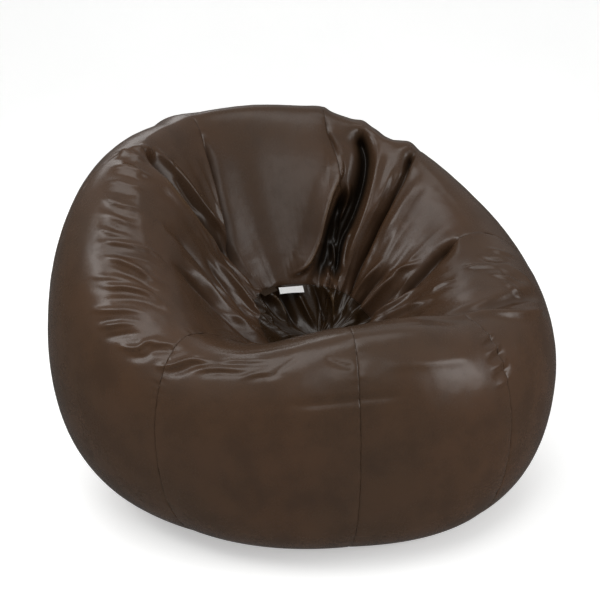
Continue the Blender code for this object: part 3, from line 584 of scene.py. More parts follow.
def dish(name, outer, inner, tip, tip_in):
    """A closed round sheet: rings of points from its rim in to a middle point."""
    rows, cols = outer.shape[:2]
    n = rows * cols
    quads = [grid_quads(rows, cols, 0, True), grid_quads(rows, cols, n, True)[:, ::-1]]
    at = np.arange(cols)
    after = np.roll(at, -1)
    quads.append(np.stack([after, at, at + n, after + n], -1))
    last = (rows - 1) * cols
    tris = [np.stack([last + at, last + after, np.full(cols, 2 * n)], -1), np.stack([n + last + after, n + last + at, np.full(cols, 2 * n + 1)], -1)]
    sharp = np.zeros(2 * n + 2, np.int8)
    sharp[at] = 1
    sharp[at + n] = 2
    points = np.concatenate([outer.reshape(-1, 3), inner.reshape(-1, 3), [tip, tip_in]])
    return new_mesh(name, points, np.concatenate(quads), np.concatenate(tris), sharp)


cap_rows = np.concatenate([CAP_AT + 2 + np.array([0.0009, 0.0020, 0.0038, 0.0065]) / 0.30, np.linspace(CAP_AT + 2 + 0.034, 2.985, 34)])
cap_deg = np.linspace(0, 360, 300, endpoint=False)
deg, u = np.meshgrid(cap_deg, cap_rows)
outer, inner = skin(deg, u), skin(deg, u, inside=THICK)
outer[0] += (inner[0] - outer[0]) * 0.15
tip = outer[-1].mean(0) + np.array([0, 0, -0.0002])
cap = dish("top_cap_vinyl", outer, inner, tip, tip - np.array([0, 0, THICK]))
lift = skin_height(deg.ravel(), u.ravel(), False)
edge = np.zeros(deg.shape)
edge[:3] = 1
float_attribute(cap, "crease", np.concatenate([lift, lift, [0, 0]]))
float_attribute(cap, "sewn", np.concatenate([edge.ravel(), edge.ravel(), [0, 0]]))
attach(cap, "bag")
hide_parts("top_cap")
cover["top_cap"] = cap
print("AREA cap", round(sheet_area(outer), 4))


# ------------------------------------------------------------------ materials
class Nodes:
    """A short way to write a material's nodes."""

    def __init__(self, name):
        self.material = bpy.data.materials.new(name)
        self.material.use_nodes = True
        self.tree = self.material.node_tree
        self.shader = self.tree.nodes["Principled BSDF"]
        self.at = self.make("ShaderNodeTexCoord").outputs["Object"]

    def make(self, kind, **inputs):
        node = self.tree.nodes.new(kind)
        for key, value in inputs.items():
            if hasattr(value, "is_linked") or isinstance(value, bpy.types.NodeSocket):
                self.tree.links.new(value, node.inputs[key.replace("_", " ")])
            else:
                node.inputs[key.replace("_", " ")].default_value = value
        return node

    def noise(self, scale, detail=3.0, rough=0.55, at=None, distortion=0.0):
        return self.make("ShaderNodeTexNoise", Vector=at or self.at, Scale=scale, Detail=detail, Roughness=rough, Distortion=distortion).outputs["Fac"]

    def stretch(self, x, y, z):
        node = self.make("ShaderNodeMapping", Vector=self.at)
        node.inputs["Scale"].default_value = (x, y, z)
        return node.outputs["Vector"]

    def span(self, value, a, b, c=0.0, d=1.0):
        node = self.make("ShaderNodeMapRange")
        self.tree.links.new(value, node.inputs["Value"])
        for key, v in (("From Min", a), ("From Max", b), ("To Min", c), ("To Max", d)):
            node.inputs[key].default_value = v
        return node.outputs["Result"]

    def math(self, operation, a, b=0.0, clamp=False):
        node = self.tree.nodes.new("ShaderNodeMath")
        node.operation = operation
        node.use_clamp = clamp
        for i, v in enumerate((a, b)):
            if isinstance(v, (int, float)):
                node.inputs[i].default_value = v
            else:
                self.tree.links.new(v, node.inputs[i])
        return node.outputs[0]

    def mix(self, factor, a, b):
        node = self.tree.nodes.new("ShaderNodeMix")
        node.data_type = "RGBA"
        for i, v in ((0, factor), (6, a), (7, b)):
            if isinstance(v, tuple):
                node.inputs[i].default_value = (*v, 1)
            elif isinstance(v, float):
                node.inputs[i].default_value = v
            else:
                self.tree.links.new(v, node.inputs[i])
        return node.outputs[2]

    def attribute(self, name):
        node = self.tree.nodes.new("ShaderNodeAttribute")
        node.attribute_name = name
        return node.outputs["Fac"]

    def bump(self, height, distance, strength=1.0, after=None):
        node = self.tree.nodes.new("ShaderNodeBump")
        node.inputs["Distance"].default_value = distance
        node.inputs["Strength"].default_value = strength
        self.tree.links.new(height, node.inputs["Height"])
        if after is not None:
            self.tree.links.new(after, node.inputs["Normal"])
        return node.outputs["Normal"]

    def done(self, colour=None, rough=None, normal=None, **constants):
        for value, key in ((colour, "Base Color"), (rough, "Roughness"), (normal, "Normal")):
            if isinstance(value, bpy.types.NodeSocket):
                self.tree.links.new(value, self.shader.inputs[key])
            elif isinstance(value, tuple):
                self.shader.inputs[key].default_value = (*value, 1)
            elif value is not None:
                self.shader.inputs[key].default_value = value
        for key, value in constants.items():
            self.shader.inputs[key.replace("_", " ")].default_value = value
        return self.material


def vinyl(name, light_tone, mid_tone, dark_tone, gloss=0.255):
    """Coated leather-look vinyl: fine pebble grain under a satin top coat."""
    m = Nodes(name)
    broad = m.noise(2.6, 2.0)
    patch = m.noise(14.0, 4.0, 0.6)
    speck = m.noise(240.0, 3.0, 0.6)
    colour = m.mix(m.span(broad, 0.34, 0.68), mid_tone, light_tone)
    colour = m.mix(m.span(patch, 0.40, 0.72, 0.0, 0.35), colour, dark_tone)
    colour = m.mix(m.span(speck, 0.45, 0.75, 0.0, 0.22), colour, dark_tone)
    # painted shade in the creases and a darker tone along the seams; painted highlight on the ridges
    crease = m.attribute("crease")
    colour = m.mix(m.span(crease, -0.005, -0.024, 0.0, 0.75), colour, dark_tone)
    # near black in the deepest creases: painted shade
    colour = m.mix(m.span(crease, -0.020, -0.034, 0.0, 0.85), colour, (0.006, 0.0035, 0.0012))
    # lighter on the ridges, lightest on the highest rolls: painted highlight
    colour = m.mix(m.span(crease, 0.003, 0.010, 0.0, 0.28), colour, light_tone)
    colour = m.mix(m.span(crease, 0.011, 0.0155, 0.0, 0.45), colour, (0.105, 0.062, 0.028))
    colour = m.mix(m.math("MULTIPLY", m.attribute("sewn"), 0.12), colour, dark_tone)
    rough = m.span(patch, 0.3, 0.7, gloss - 0.035, gloss + 0.05)
    rough = m.math("ADD", rough, m.span(speck, 0.3, 0.7, -0.02, 0.03))
    rough = m.math("ADD", rough, m.span(crease, -0.002, -0.02, 0.0, 0.10))
    cells = m.make("ShaderNodeTexVoronoi", Vector=m.at, Scale=620.0, Randomness=1.0)
    pebble = m.span(cells.outputs["Distance"], 0.0, 0.7, 1.0, 0.0)
    swell = m.noise(55.0, 3.0, 0.5)
    wave = m.noise(26.0, 2.0, 0.5, m.stretch(1.0, 1.0, 0.6))
    normal = m.bump(wave, 0.0016, 0.25)
    normal = m.bump(swell, 0.0006, 0.30, normal)
    normal = m.bump(pebble, 0.00012, 0.35, normal)
    return m.done(colour, rough, normal, Specular_IOR_Level=0.30)


VINYL_MAT = vinyl("brown_vinyl", (0.062, 0.0315, 0.0165), (0.050, 0.0285, 0.0165), (0.020, 0.0110, 0.0055))
# the cap and the seam tab down in the seat's hollow: the same vinyl in darker tones, painted shade
CAP_PAINTED_SHADE_MAT = vinyl("brown_vinyl_cap", (0.026, 0.0135, 0.0050), (0.021, 0.0105, 0.004), (0.009, 0.0045, 0.002), 0.24)
BASE_MAT = vinyl("brown_vinyl_base", (0.045, 0.023, 0.010), (0.037, 0.019, 0.008), (0.018, 0.009, 0.004), 0.38)

m = Nodes("pale_floor")
tone = m.noise(1.4, 3.0)
grain = m.noise(160.0, 3.0)
FLOOR_MAT = m.done(m.mix(m.span(tone, 0.3, 0.7), (0.80, 0.80, 0.79), (0.83, 0.83, 0.82)), m.span(grain, 0.3, 0.7, 0.62, 0.72), m.bump(grain, 0.0002, 0.2), Emission_Color=(1.0, 1.0, 1.0, 1.0), Emission_Strength=0.42)

for name, obj in cover.items():
    obj.data.materials.append(CAP_PAINTED_SHADE_MAT if name == "top_cap" else VINYL_MAT)

def woven(name, tone, dark, pitch, sheen=0.3, rough=0.85):
    """Woven cloth or tape: two crossing sets of fine threads."""
    m = Nodes(name)
    warp = m.make("ShaderNodeTexWave", Vector=m.at, Scale=pitch, Distortion=0.6)
    weft = m.make("ShaderNodeTexWave", Vector=m.at, Scale=pitch, Distortion=0.6)
    weft.bands_direction = "Y"
    threads = m.math("MAXIMUM", warp.outputs["Fac"], weft.outputs["Fac"])
    mottle = m.noise(35.0, 4.0)
    fuzz = m.noise(900.0, 2.0)
    colour = m.mix(m.span(threads, 0.1, 0.9), dark, tone)
    colour = m.mix(m.span(mottle, 0.35, 0.75, 0.0, 0.35), colour, dark)
    normal = m.bump(threads, 0.00018, 0.6)
    normal = m.bump(fuzz, 0.00008, 0.4, normal)
    return m.done(colour, m.span(mottle, 0.3, 0.7, rough - 0.06, rough + 0.06), normal, Sheen_Weight=sheen, Sheen_Roughness=0.5)


TAPE_MAT = woven("zip_tape_weave", (0.040, 0.026, 0.018), (0.016, 0.010, 0.007), 420.0)
LINER_TAPE_MAT = woven("liner_tape_weave", (0.74, 0.73, 0.70), (0.50, 0.49, 0.46), 420.0)
LABEL_MAT = woven("label_weave", (0.84, 0.84, 0.83), (0.66, 0.66, 0.65), 700.0, 0.15, 0.62)

m = Nodes("liner_nonwoven")
web = m.noise(90.0, 5.0, 0.65, m.stretch(1.0, 1.0, 2.2))
dots = m.make("ShaderNodeTexVoronoi", Vector=m.at, Scale=330.0, Randomness=0.15).outputs["Distance"]
pressed = m.span(dots, 0.18, 0.30)
colour = m.mix(m.span(web, 0.3, 0.7), (0.62, 0.61, 0.58), (0.78, 0.77, 0.74))
LINER_MAT = m.done(m.mix(pressed, (0.56, 0.55, 0.52), colour), m.span(web, 0.3, 0.7, 0.78, 0.92), m.bump(web, 0.0006, 0.4, m.bump(pressed, 0.0002, 0.5)), Sheen_Weight=0.2)

m = Nodes("polystyrene_beads")
cell = m.make("ShaderNodeTexVoronoi", Vector=m.at, Scale=210.0, Randomness=0.9)
ball = m.span(cell.outputs["Distance"], 0.0, 0.75, 1.0, 0.0)
tone = m.noise(60.0, 2.0)
# grey where the beads meet: painted shade in the gaps between them
BEAD_MAT = m.done(m.mix(m.span(ball, 0.15, 0.8), (0.55, 0.55, 0.54), m.mix(m.span(tone, 0.3, 0.7), (0.84, 0.84, 0.83), (0.93, 0.93, 0.92))), m.span(tone, 0.3, 0.7, 0.55, 0.75), m.bump(ball, 0.0020, 0.9))

m = Nodes("zip_nylon")
tone = m.noise(300.0, 3.0)
COIL_MAT = m.done(m.mix(m.span(tone, 0.3, 0.7), (0.028, 0.018, 0.013), (0.050, 0.033, 0.024)), m.span(tone, 0.3, 0.7, 0.32, 0.46), m.bump(tone, 0.00005, 0.3))
m = Nodes("liner_zip_nylon")
tone = m.noise(300.0, 3.0)
LINER_COIL_MAT = m.done(m.mix(m.span(tone, 0.3, 0.7), (0.62, 0.61, 0.58), (0.76, 0.75, 0.72)), m.span(tone, 0.3, 0.7, 0.32, 0.46), m.bump(tone, 0.00005, 0.3))

m = Nodes("zip_metal_antique")
tone = m.noise(420.0, 4.0, 0.6)
scuff = m.noise(900.0, 2.0, 0.5, m.stretch(6.0, 0.6, 1.0))
METAL_MAT = m.done(m.mix(m.span(tone, 0.35, 0.7), (0.16, 0.13, 0.10), (0.42, 0.36, 0.28)), m.math("ADD", m.span(tone, 0.3, 0.7, 0.26, 0.40), m.span(scuff, 0.4, 0.7, 0.0, 0.10)), m.bump(scuff, 0.00003, 0.4), Metallic=1.0)

m = Nodes("brown_thread")
twist = m.make("ShaderNodeTexWave", Vector=m.stretch(1.0, 1.0, 1.0), Scale=900.0, Distortion=1.0).outputs["Fac"]
THREAD_MAT = m.done(m.mix(m.span(twist, 0.2, 0.8), (0.030, 0.016, 0.010), (0.085, 0.048, 0.030)), 0.6, m.bump(twist, 0.0001, 0.5))


# ---------------------------------------------------------------- liner, fill
def layer(name, inside, floor, slot, thick, spacing, wrinkle, seed):
    """A layer inside the cover: its outer grid from the base up to the seat."""
    rows = rows_between(0.0, -0.9, 2.98, spacing)
    rows = np.sort(np.unique(np.concatenate([rows, [0.0]])))
    degs = np.linspace(0, 360, int(2.4 / spacing), endpoint=False)
    d, v = np.meshgrid(degs, rows)
    # as low as the lowest of the cover's folds close by, so that it stays inside
    flat_d, flat_v = d.ravel(), v.ravel()
    around = metres_per_degree(flat_d, flat_v)
    least = None
    for du in (-1, 0, 1):
        for dd in (-1, 0, 1):
            h = skin_height(flat_d + dd * 0.6 * spacing / around, np.clip(flat_v + du * 0.6 * spacing / 0.30, -1, 2.99), False)
            least = h if least is None else np.minimum(least, h)
    p = place(flat_d, flat_v) + surface_normal(flat_d, flat_v) * (least - inside)[:, None]
    p = p.reshape(d.shape + (3,)) + SHIFT
    if wrinkle:
        bump = soft_noise(p.reshape(-1, 3) * np.array([1, 1, 0.5]), 30.0, seed).reshape(d.shape)
        fine_bump = soft_noise(p.reshape(-1, 3), 75.0, seed + 2).reshape(d.shape)
        n = surface_normal(d, v)
        p = p - n * (wrinkle * (0.6 + 0.7 * bump + 0.4 * fine_bump))[..., None] * (v > 0.15)[..., None]
    low = np.interp(v, (-1.0, 0.0, 0.45), (floor, floor * 0.75, 0.0))
    p[..., 2] = np.maximum(p[..., 2], np.maximum(low, inside))
    return degs, rows, p


def lump(name, grid, foot, tip):
    """One closed body from a grid of rings with a point at either end."""
    rows, cols = grid.shape[:2]
    n = rows * cols
    at = np.arange(cols)
    after = np.roll(at, -1)
    last = (rows - 1) * cols
    tris = np.concatenate([np.stack([last + at, last + after, np.full(cols, n)], -1), np.stack([after, at, np.full(cols, n + 1)], -1)])
    return new_mesh(name, np.concatenate([grid.reshape(-1, 3), [tip, foot]]), grid_quads(rows, cols, 0, True), tris)


# the beads: one heap that fills the liner, its surface bumped by the beads
degs, rows, p = layer("beads", 0.0165, FILL_FLOOR, 0, 0, 0.0065, 0.0, 1)
flat = p.reshape(-1, 3)
beads = np.array([noise.voronoi(Vector(q) * 110.0)[0][0] for q in flat]).reshape(p.shape[:2])
p = p - surface_normal(*np.meshgrid(degs, rows)) * (0.0016 * np.minimum(beads, 0.8))[..., None] * (rows > 0.1)[:, None, None]
flat_middle = np.stack([np.stack([np.array([r * math.sin(math.radians(a)), -r * math.cos(math.radians(a)), FILL_FLOOR]) + SHIFT for a in degs]) for r in (0.06, 0.12, 0.18)])
grid = np.concatenate([flat_middle, p])
fill = lump("polystyrene_bead_heap", grid, np.array([0, 0, FILL_FLOOR]) + SHIFT, grid[-1].mean(0) + np.array([0, 0, -0.0003]))
fill.data.materials.append(BEAD_MAT)
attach(fill, "bag")
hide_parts("bead_fill")

# the liner: a thin nonwoven bag with a slot along its own zip
LINER_SLOT, SLOT_Y = 0.0075, LINER_ZIP_HALF + 0.006
degs, rows, p = layer("liner", 0.0095, LINER_FLOOR, 0, 0, 0.0075, 0.0012, 5)


def slot_ring(half_w, half_l, z, angles):
    made = []
    for a in angles:
        x, y = math.sin(math.radians(a)), -math.cos(math.radians(a))
        k = 1.0 / max(abs(x), abs(y), 1e-9)
        if abs(x) * k >= 1 - 1e-9:
            made.append((math.copysign(half_w, x), y * k * half_l * 0.97, z))
        else:
            made.append((x * k * half_w, math.copysign(half_l, y), z))
    return np.array(made) + SHIFT


def floor_rings(z):
    rings = [slot_ring(LINER_SLOT, SLOT_Y, z, degs)]
    edge = rings[0]
    round_ = np.stack([np.array([0.215 * math.sin(math.radians(a)), -0.215 * math.cos(math.radians(a)), z]) + SHIFT for a in degs])
    for t in (0.25, 0.5, 0.75, 1.0):
        rings.append(edge + (round_ - edge) * t)
    return np.stack(rings)


outer = np.concatenate([floor_rings(LINER_FLOOR), p])
normals = surface_normal(*np.meshgrid(degs, rows))
inner_part = p - normals * LINER
inner_part[..., 2] = np.maximum(inner_part[..., 2], np.interp(rows, (-1.0, 0.0, 0.45), (LINER_FLOOR + LINER, LINER_FLOOR * 0.75 + LINER, 0.0))[:, None])
inner = np.concatenate([floor_rings(LINER_FLOOR + LINER), inner_part])
outer_liner = outer
liner = dish("inner_liner_bag", outer, inner, outer[-1].mean(0), inner[-1].mean(0))
liner.data.materials.append(LINER_MAT)
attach(liner, "bag")
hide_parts("inner_liner")
print("AREA liner", round(sheet_area(np.concatenate([outer, outer[:, :1]], 1)), 4))


# ----------------------------------------------------------------- the base
def channel(x, y):
    """Height of the base over the floor: it is drawn up round the zip."""
    across = 1 - smoothstep((np.abs(x) - CHANNEL_W) / CHANNEL_BLEND)
    along = 1 - smoothstep((np.abs(y) - ZIP_HALF - 0.016) / 0.045)
    return CHANNEL_RISE * across * along


def base_half(name, side):
    """Half of the round base, turned in along the zip's slot."""
    rim = BASE_R - 2 * SEAM_GAP
    count = 130
    a = np.linspace(0.0, 180.0, count + 1)
    rx, ry = np.maximum(rim * np.sin(np.radians(a)), SEAM_GAP), -rim * np.cos(np.radians(a))
    reach = ZIP_HALF + 0.0075
    slot_y = np.interp(a, (0, 24, 30, 150, 156, 180), (-rim + 0.012, -reach - 0.004, -reach, reach, reach + 0.004, rim - 0.012))
    x0 = SEAM_GAP + SLOT_HALF * smoothstep((reach + 0.002 - np.abs(slot_y)) / 0.002)
    t = np.concatenate([[0, 0.004, 0.010, 0.018, 0.028], np.linspace(0.04, 1.0, 44)])
    x = x0[:, None] + (rx - x0)[:, None] * t
    y = slot_y[:, None] + (ry - slot_y)[:, None] * t
    z = channel(x, y)
    # slight slack in the cloth, none of it below the floor
    flat = np.stack([x * side, y, z], -1).reshape(-1, 3)
    wave = soft_noise(flat, 22.0, 9.0).reshape(x.shape)
    z = z + 0.0007 * np.clip(wave + 0.2, 0, 1) * smoothstep(t / 0.1) * smoothstep((1 - t) / 0.1)
    z[:, 0] += 0.0007
    z[:, -1] += 0.0005
    z[:, -2] += 0.0001
    under = np.stack([x * side, y, z], -1) + SHIFT
    over = np.stack([x * side, y, channel(x, y) + THICK], -1) + SHIFT
    if side < 0:
        under, over = under[:, ::-1], over[:, ::-1]
    obj = cloth(name + "_vinyl", under, over)
    edge = np.zeros(x.shape)
    edge[:, :2] = 1
    edge[:, -2:] = 1
    if side < 0:
        edge = edge[:, ::-1]
    float_attribute(obj, "crease", np.zeros(2 * x.size))
    float_attribute(obj, "sewn", np.concatenate([edge.ravel(), edge.ravel()]))
    obj.data.materials.append(BASE_MAT)
    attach(obj, "bag")
    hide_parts(name)
    return obj, sheet_area(under)


base_right, base_area = base_half("base_panel_right", 1)
base_left, base_area = base_half("base_panel_left", -1)


def capsule_row(name, points, ways, length, radius, material):
    """Small rounded stitches at these points, lying along these directions."""
    corners, quads, tris = [], [], []
    rings = ((-0.5, 0.45), (-0.36, 0.9), (0.0, 1.0), (0.36, 0.9), (0.5, 0.45))
    for p, way in zip(points, ways):
        up = np.array([0.0, 0.0, 1.0])
        aside = np.cross(way, up)
        aside /= np.linalg.norm(aside)
        first = len(corners)
        for f, r in rings:
            for k in range(6):
                c, s = math.cos(k * math.pi / 3), math.sin(k * math.pi / 3)
                corners.append(p + way * (f * length) + (aside * c + up * s) * (radius * r))
        quads.append(grid_quads(len(rings), 6, first, True))
        end = len(corners)
        corners.append(p - way * (0.56 * length))
        corners.append(p + way * (0.56 * length))
        for k in range(6):
            tris.append((end, first + (k + 1) % 6, first + k))
            tris.append((end + 1, first + 24 + k, first + 24 + (k + 1) % 6))
    obj = new_mesh(name, np.array(corners), np.concatenate(quads)[:, ::-1], np.array(tris)[:, ::-1])
    obj.data.materials.append(material)
    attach(obj, "bag")
    return obj


# two rows of topstitching hold each tape along the slot
where, ways = [], []
for side in (-1, 1):
    for y in np.arange(-ZIP_HALF - 0.002, ZIP_HALF + 0.002, 0.0034):
        x = side * (SEAM_GAP + SLOT_HALF + 0.0032)
        where.append(np.array([x, y, float(channel(x, y)) + 0.00002]) + SHIFT)
        ways.append(np.array([0.0, 1.0, 0.0]))
stitching = capsule_row("zip_topstitching", where, ways, 0.0025, 0.0003, THREAD_MAT)


# ------------------------------------------------------------------ the zips
def tape(name, material):
    """A woven zip tape: a thin band, corded along its inner edge."""
    lo, hi = (np.array(v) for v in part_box(name))
    ys = np.linspace(lo[1], hi[1], 220)
    t = np.array([0, 0.015, 0.05, 0.10, 0.2, 0.35, 0.5, 0.65, 0.8, 0.95, 1.0])
    inner_first = abs(lo[0] - SHIFT[0]) < abs(hi[0] - SHIFT[0])
    xs = lo[0] + (hi[0] - lo[0]) * t if inner_first else hi[0] - (hi[0] - lo[0]) * t
    x, y = np.meshgrid(xs, ys)
    thin = np.interp(t, (0, 0.02, 0.08, 0.16, 0.97, 1.0), (0.32, 0.02, 0.0, 0.16, 0.16, 0.36))[None] * (hi[2] - lo[2])
    ripple = 0.00003 * np.sin(y * 2 * math.pi / 0.031)
    low = np.stack([x, y, lo[2] + thin * np.ones_like(y) + 0.00003 + ripple], -1)
    high = np.stack([x, y, hi[2] - thin * np.ones_like(y) - 0.00003 + ripple], -1)
    obj = cloth(name + "_weave", high, low) if inner_first else cloth(name + "_weave", high[:, ::-1], low[:, ::-1])
    obj.data.materials.append(material)
    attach(obj, "bag")
    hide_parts(name)
    return obj


def coil(name, pitch, wire, material):
    """A zip's nylon coil: one wire wound flat, its teeth towards the middle."""
    lo, hi = (np.array(v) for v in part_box(name))
    mid = (lo + hi) / 2
    ax, az = (hi[0] - lo[0]) / 2 - wire, (hi[2] - lo[2]) / 2 - wire
    turns = int((hi[1] - lo[1] - 2 * wire - 0.0002) / pitch)
    steps = 16
    n = turns * steps + 1
    th = np.linspace(0, turns * 2 * math.pi, n)
    flatten = lambda v: np.sign(v) * np.abs(v) ** 0.75
    path = np.stack([mid[0] + ax * flatten(np.cos(th)), lo[1] + wire + 0.0001 + th / (2 * math.pi) * pitch, mid[2] + az * flatten(np.sin(th))], -1)
    way = np.gradient(path, axis=0)
    way /= np.linalg.norm(way, axis=1, keepdims=True)
    a = np.cross(way, np.array([0.0, 1.0, 0.0]))
    a /= np.linalg.norm(a, axis=1, keepdims=True)
    b = np.cross(way, a)
    around = np.arange(6) * math.pi / 3
    tube = path[:, None] + wire * 0.94 * (np.cos(around)[None, :, None] * a[:, None] + np.sin(around)[None, :, None] * b[:, None])
    at = np.arange(6)
    after = np.roll(at, -1)
    last = (n - 1) * 6
    tris = np.concatenate([np.stack([after, at, np.full(6, 6 * n)], -1), np.stack([last + at, last + after, np.full(6, 6 * n + 1)], -1)])
    obj = new_mesh(name + "_teeth", np.concatenate([tube.reshape(-1, 3), path[:1], path[-1:]]), grid_quads(n, 6, 0, True), tris)
    obj.data.materials.append(material)
    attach(obj, "bag")
    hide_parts(name)
    return obj


for word in ("left", "right"):
    tape("zip_tape_" + word, TAPE_MAT)
    coil("zip_coil_" + word, 0.00135, 0.00036, COIL_MAT)
    tape("liner_zip_tape_" + word, LINER_TAPE_MAT)
    coil("liner_zip_coil_" + word, 0.00110, 0.00027, LINER_COIL_MAT)
for name in ("zip_slider", "liner_zip_slider", "zip_top_stop", "zip_bottom_stop"):
    node = frame["nodes"][name]
    node.data.materials.clear()
    node.data.materials.append(METAL_MAT)

# the flap over the zip, inside the cover
x_flap = np.array([-0.060, -0.050, -0.036, -0.024, 0.030])
z_flap = np.array([0.0034, 0.0056, 0.0128, 0.0168, 0.0168])
z_flap = np.maximum(z_flap, channel(x_flap, 0.0 * x_flap) + VINYL + 0.0016)
xs = np.interp(np.linspace(0, 4, 41), range(5), x_flap)
ys = np.linspace(-ZIP_HALF - 0.004, ZIP_HALF + 0.004, 120)
x, y = np.meshgrid(xs, ys)
z = np.interp(x, x_flap, z_flap)
lower = np.stack([x, y, z], -1) + SHIFT
upper = np.stack([x, y, z + 0.0010], -1) + SHIFT
flap = cloth("zip_guard_flap_vinyl", upper, lower)
flap.data.materials.append(BASE_MAT)
float_attribute(flap, "crease", np.zeros(2 * x.size))
float_attribute(flap, "sewn", np.zeros(2 * x.size))
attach(flap, "bag")
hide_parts("zip_guard_flap")


# ------------------------------------------------------------ label and tab
def tab_frame(joint):
    """The hinge line and the directions of a tab's CAD solid."""
    j = next(v for v in frame["joints"] if v["name"] == joint)
    side = np.array(j["axis"], float)
    side /= np.linalg.norm(side)
    return np.array(j["pos_m"], float), side


def tab_directions(name, origin, side):
    co = np.array([v.co for v in frame["nodes"][name].data.vertices], float) - origin
    along = co - np.outer(co @ side, side)
    fall = along[np.argmax(np.linalg.norm(along, axis=1))]
    drop = float(np.linalg.norm(fall))
    fall = fall / drop
    rise = np.cross(side, fall)
    if rise[2] < 0:
        rise = -rise
    w = co @ side
    return fall, rise, drop, float(w.min()), float(w.max()), float((co @ rise).max())


# blank care label: a woven ribbon, heat-cut at its end, that curls a little
origin, side = tab_frame("label_bend")
fall, rise, drop, w0, w1, high = tab_directions("care_label", origin, side)
s = np.linspace(0, 1, 22)
w = np.linspace(w0 + 0.0001, w1 - 0.0001, 44)
ww, ss = np.meshgrid(w, s)
curl = 0.0007 * np.sin(ww / (w1 - w0) * 5.0 + 1.0) * ss**1.5 + 0.0006 * np.sin(ss * 3.0) * (1 - 0.4 * np.cos(ww * 60))
top = origin + side * ww[..., None] + fall * (ss * drop * 0.985)[..., None] + rise * (0.00065 + curl)[..., None]
low = top - rise * 0.00045
label = cloth("care_label_blank", top, low)
label.data.materials.append(LABEL_MAT)
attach(label, "label_flap")
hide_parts("care_label")

# seam tab: vinyl folded double, with a fold along its front and raw sides
origin, side = tab_frame("tab_bend")
fall, rise, drop, w0, w1, high = tab_directions("seam_tab", origin, side)
around = np.linspace(0, math.pi, 9)
reach = drop * 0.97
profile = [(t * (reach - 0.0012), 0.0024 + 0.0004 * math.sin(t * 3)) for t in np.linspace(0, 1, 12)]
profile += [(reach - 0.0012 + 0.0012 * math.sin(a), 0.0012 + 0.0012 * math.cos(a)) for a in around[1:-1]]
profile += [(t * (reach - 0.0012), 0.00005) for t in np.linspace(1, 0, 12)]
inner_profile = [(t * (reach - 0.0014), 0.00145 + 0.0004 * math.sin(t * 3)) for t in np.linspace(0, 1, 12)]
inner_profile += [(reach - 0.0014 + 0.0003 * math.sin(a), 0.00125 + 0.0002 * math.cos(a)) for a in around[1:-1]]
inner_profile += [(t * (reach - 0.0014), 0.00100) for t in np.linspace(1, 0, 12)]
w = np.linspace(w0, w1, 30)


def strap(points):
    f = np.array([p[0] for p in points])[:, None]
    r = np.array([p[1] for p in points])[:, None]
    narrow = 1 - 0.14 * (f / drop)
    return origin + side * ((w * 0.985)[None, :] * narrow)[..., None] + fall * (f + 0 * w[None])[..., None] + rise * (r + 0 * w[None])[..., None]


seam_tab = cloth("seam_tab_vinyl", strap(profile), strap(inner_profile))
seam_tab.data.materials.append(CAP_PAINTED_SHADE_MAT)
float_attribute(seam_tab, "crease", np.zeros(len(seam_tab.data.vertices)))
float_attribute(seam_tab, "sewn", np.zeros(len(seam_tab.data.vertices)))
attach(seam_tab, "tab_flap")
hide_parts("seam_tab")


# ------------------------------------------------- the cut sizes of the cloth
def cut(obj, area, width, length):
    """Prints a sheet's pattern piece: its width, length and flat area."""
    area = min(area, 0.995 * width * length)
    print("SHEET", obj.name, round(width, 3), round(length, 3), round(area, 4))


for k, name in enumerate(PANELS):
    deg, u = panel_grid(k)
    plain = place(deg, u)
    long_way = plain[:, plain.shape[1] // 2]
    length = float(np.linalg.norm(np.diff(long_way, axis=0), axis=1).sum())
    width = float(np.linalg.norm(np.diff(plain, axis=1), axis=-1).sum(1).max())
    cut(cover[name], sheet_area(plain), width, length)
cap_area = sheet_area(np.concatenate([place(*np.meshgrid(cap_deg, cap_rows))], 0))
cap_width = 2 * math.sqrt(cap_area / math.pi)
cut(cap, cap_area, cap_width, cap_width)
cut(base_right, base_area, 0.245, 0.489)
cut(base_left, base_area, 0.245, 0.489)
cut(flap, 0.090 * 0.368, 0.092, 0.368)
liner_area = sheet_area(np.concatenate([outer_liner, outer_liner[:, :1]], 1))
cut(liner, liner_area, 2.0, liner_area / 2.0 / 0.94)


# ------------------------------------------------------------------ the room
def light(name, az, el, far, size, power, colour=(1, 1, 1), target=(0, 0, 0.35), size_y=None):
    data = bpy.data.lights.new(name, "AREA")
    data.shape = "RECTANGLE"
    data.size = size
    data.size_y = size_y or size
    data.energy = 1.55 * power
    data.color = colour
    obj = bpy.data.objects.new(name, data)
    a, e = math.radians(az), math.radians(el)
    way = Vector((math.sin(a) * math.cos(e), -math.cos(a) * math.cos(e), math.sin(e)))
    obj.location = Vector(target) + way * far
    obj.rotation_euler = way.to_track_quat("Z", "Y").to_euler()
    bpy.context.scene.collection.objects.link(obj)
    return obj


light("overhead_left", -62, 60, 2.6, 2.0, 18, size_y=1.6)
light("overhead_front", 25, 70, 2.5, 1.5, 4.0, size_y=0.8)
light("front_right_window", 36, 12, 2.6, 1.5, 11.5, size_y=0.85)
light("left_fill", -104, 36, 2.5, 1.0, 9.0, size_y=0.8)
light("back_light", 176, 34, 2.5, 1.8, 5.0, size_y=0.8)
light("camera_fill", -16, 26, 3.2, 1.2, 5, size_y=1.0)

world = bpy.data.worlds.new("studio") if not bpy.context.scene.world else bpy.context.scene.world
bpy.context.scene.world = world
world.use_nodes = True
back = world.node_tree.nodes["Background"]
back.inputs["Strength"].default_value = 0.56
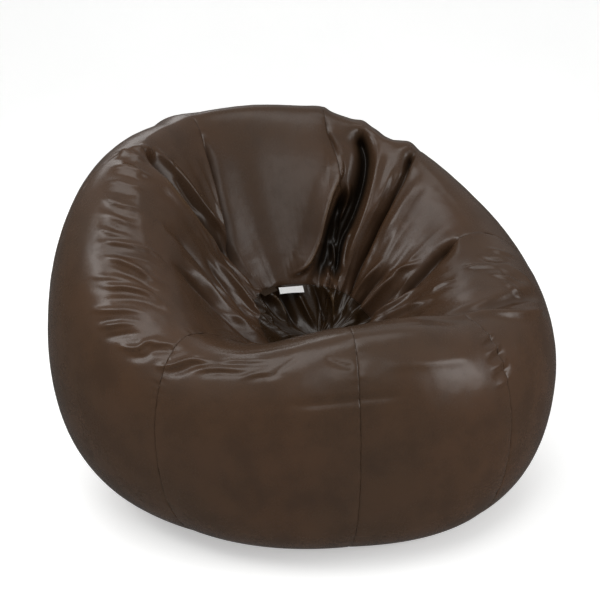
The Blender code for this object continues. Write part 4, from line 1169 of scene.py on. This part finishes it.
# a room that is bright overhead and dim along the floor
links = world.node_tree.links
sky = world.node_tree.nodes.new("ShaderNodeTexCoord")
split = world.node_tree.nodes.new("ShaderNodeSeparateXYZ")
ramp = world.node_tree.nodes.new("ShaderNodeValToRGB")
ramp.color_ramp.elements[0].position = 0.05
ramp.color_ramp.elements[0].color = (0.20, 0.20, 0.20, 1)
ramp.color_ramp.elements[1].position = 0.65
ramp.color_ramp.elements[1].color = (0.98, 0.99, 1.0, 1)
links.new(sky.outputs["Generated"], split.inputs[0])
links.new(split.outputs["Z"], ramp.inputs["Fac"])
seen = world.node_tree.nodes.new("ShaderNodeMix")
seen.data_type = "RGBA"
seen.inputs[7].default_value = (1.7, 1.7, 1.7, 1)
links.new(world.node_tree.nodes.new("ShaderNodeLightPath").outputs["Is Camera Ray"], seen.inputs[0])
links.new(ramp.outputs["Color"], seen.inputs[6])
links.new(seen.outputs[2], back.inputs["Color"])

# floor that curves up into a backdrop behind the chair
cam_az, cam_el, cam_far = math.radians(-34.0), math.radians(21.97), 2.856
view = np.array([-math.sin(cam_az), math.cos(cam_az)])
side = np.array([view[1], -view[0]])
profile = [(-6.0, 0.0), (-3.0, 0.0), (0.0, 0.0), (2.0, 0.0), (3.0, 0.0)]
profile += [(3.0 + 1.6 * math.sin(a), 1.6 - 1.6 * math.cos(a)) for a in np.linspace(0, math.pi / 2, 16)[1:]]
profile += [(4.6, 3.0), (4.6, 5.0)]
across = np.linspace(-7, 7, 15)
floor_points = np.array([[(*(view * d + side * x), z) for x in across] for d, z in profile], float)
floor_points[..., 2] -= 0.0002
floor = new_mesh("studio_floor", floor_points.reshape(-1, 3), grid_quads(len(profile), len(across))[:, ::-1])
floor.data.materials.append(FLOOR_MAT)
floor.visible_glossy = False

target = Vector((SHIFT[0], SHIFT[1], 0.3135))
camera_data = bpy.data.cameras.new("camera")
camera_data.lens = 87.1
camera_data.sensor_width = 36.0
camera_data.shift_x = -0.0197
camera_data.shift_y = 0.0507
camera = bpy.data.objects.new("camera", camera_data)
camera.location = target + cam_far * Vector((math.sin(cam_az) * math.cos(cam_el), -math.cos(cam_az) * math.cos(cam_el), math.sin(cam_el)))
camera.rotation_euler = (camera.location - target).to_track_quat("Z", "Y").to_euler()
bpy.context.scene.collection.objects.link(camera)
bpy.context.scene.camera = camera
bpy.context.scene.view_settings.view_transform = "Standard"
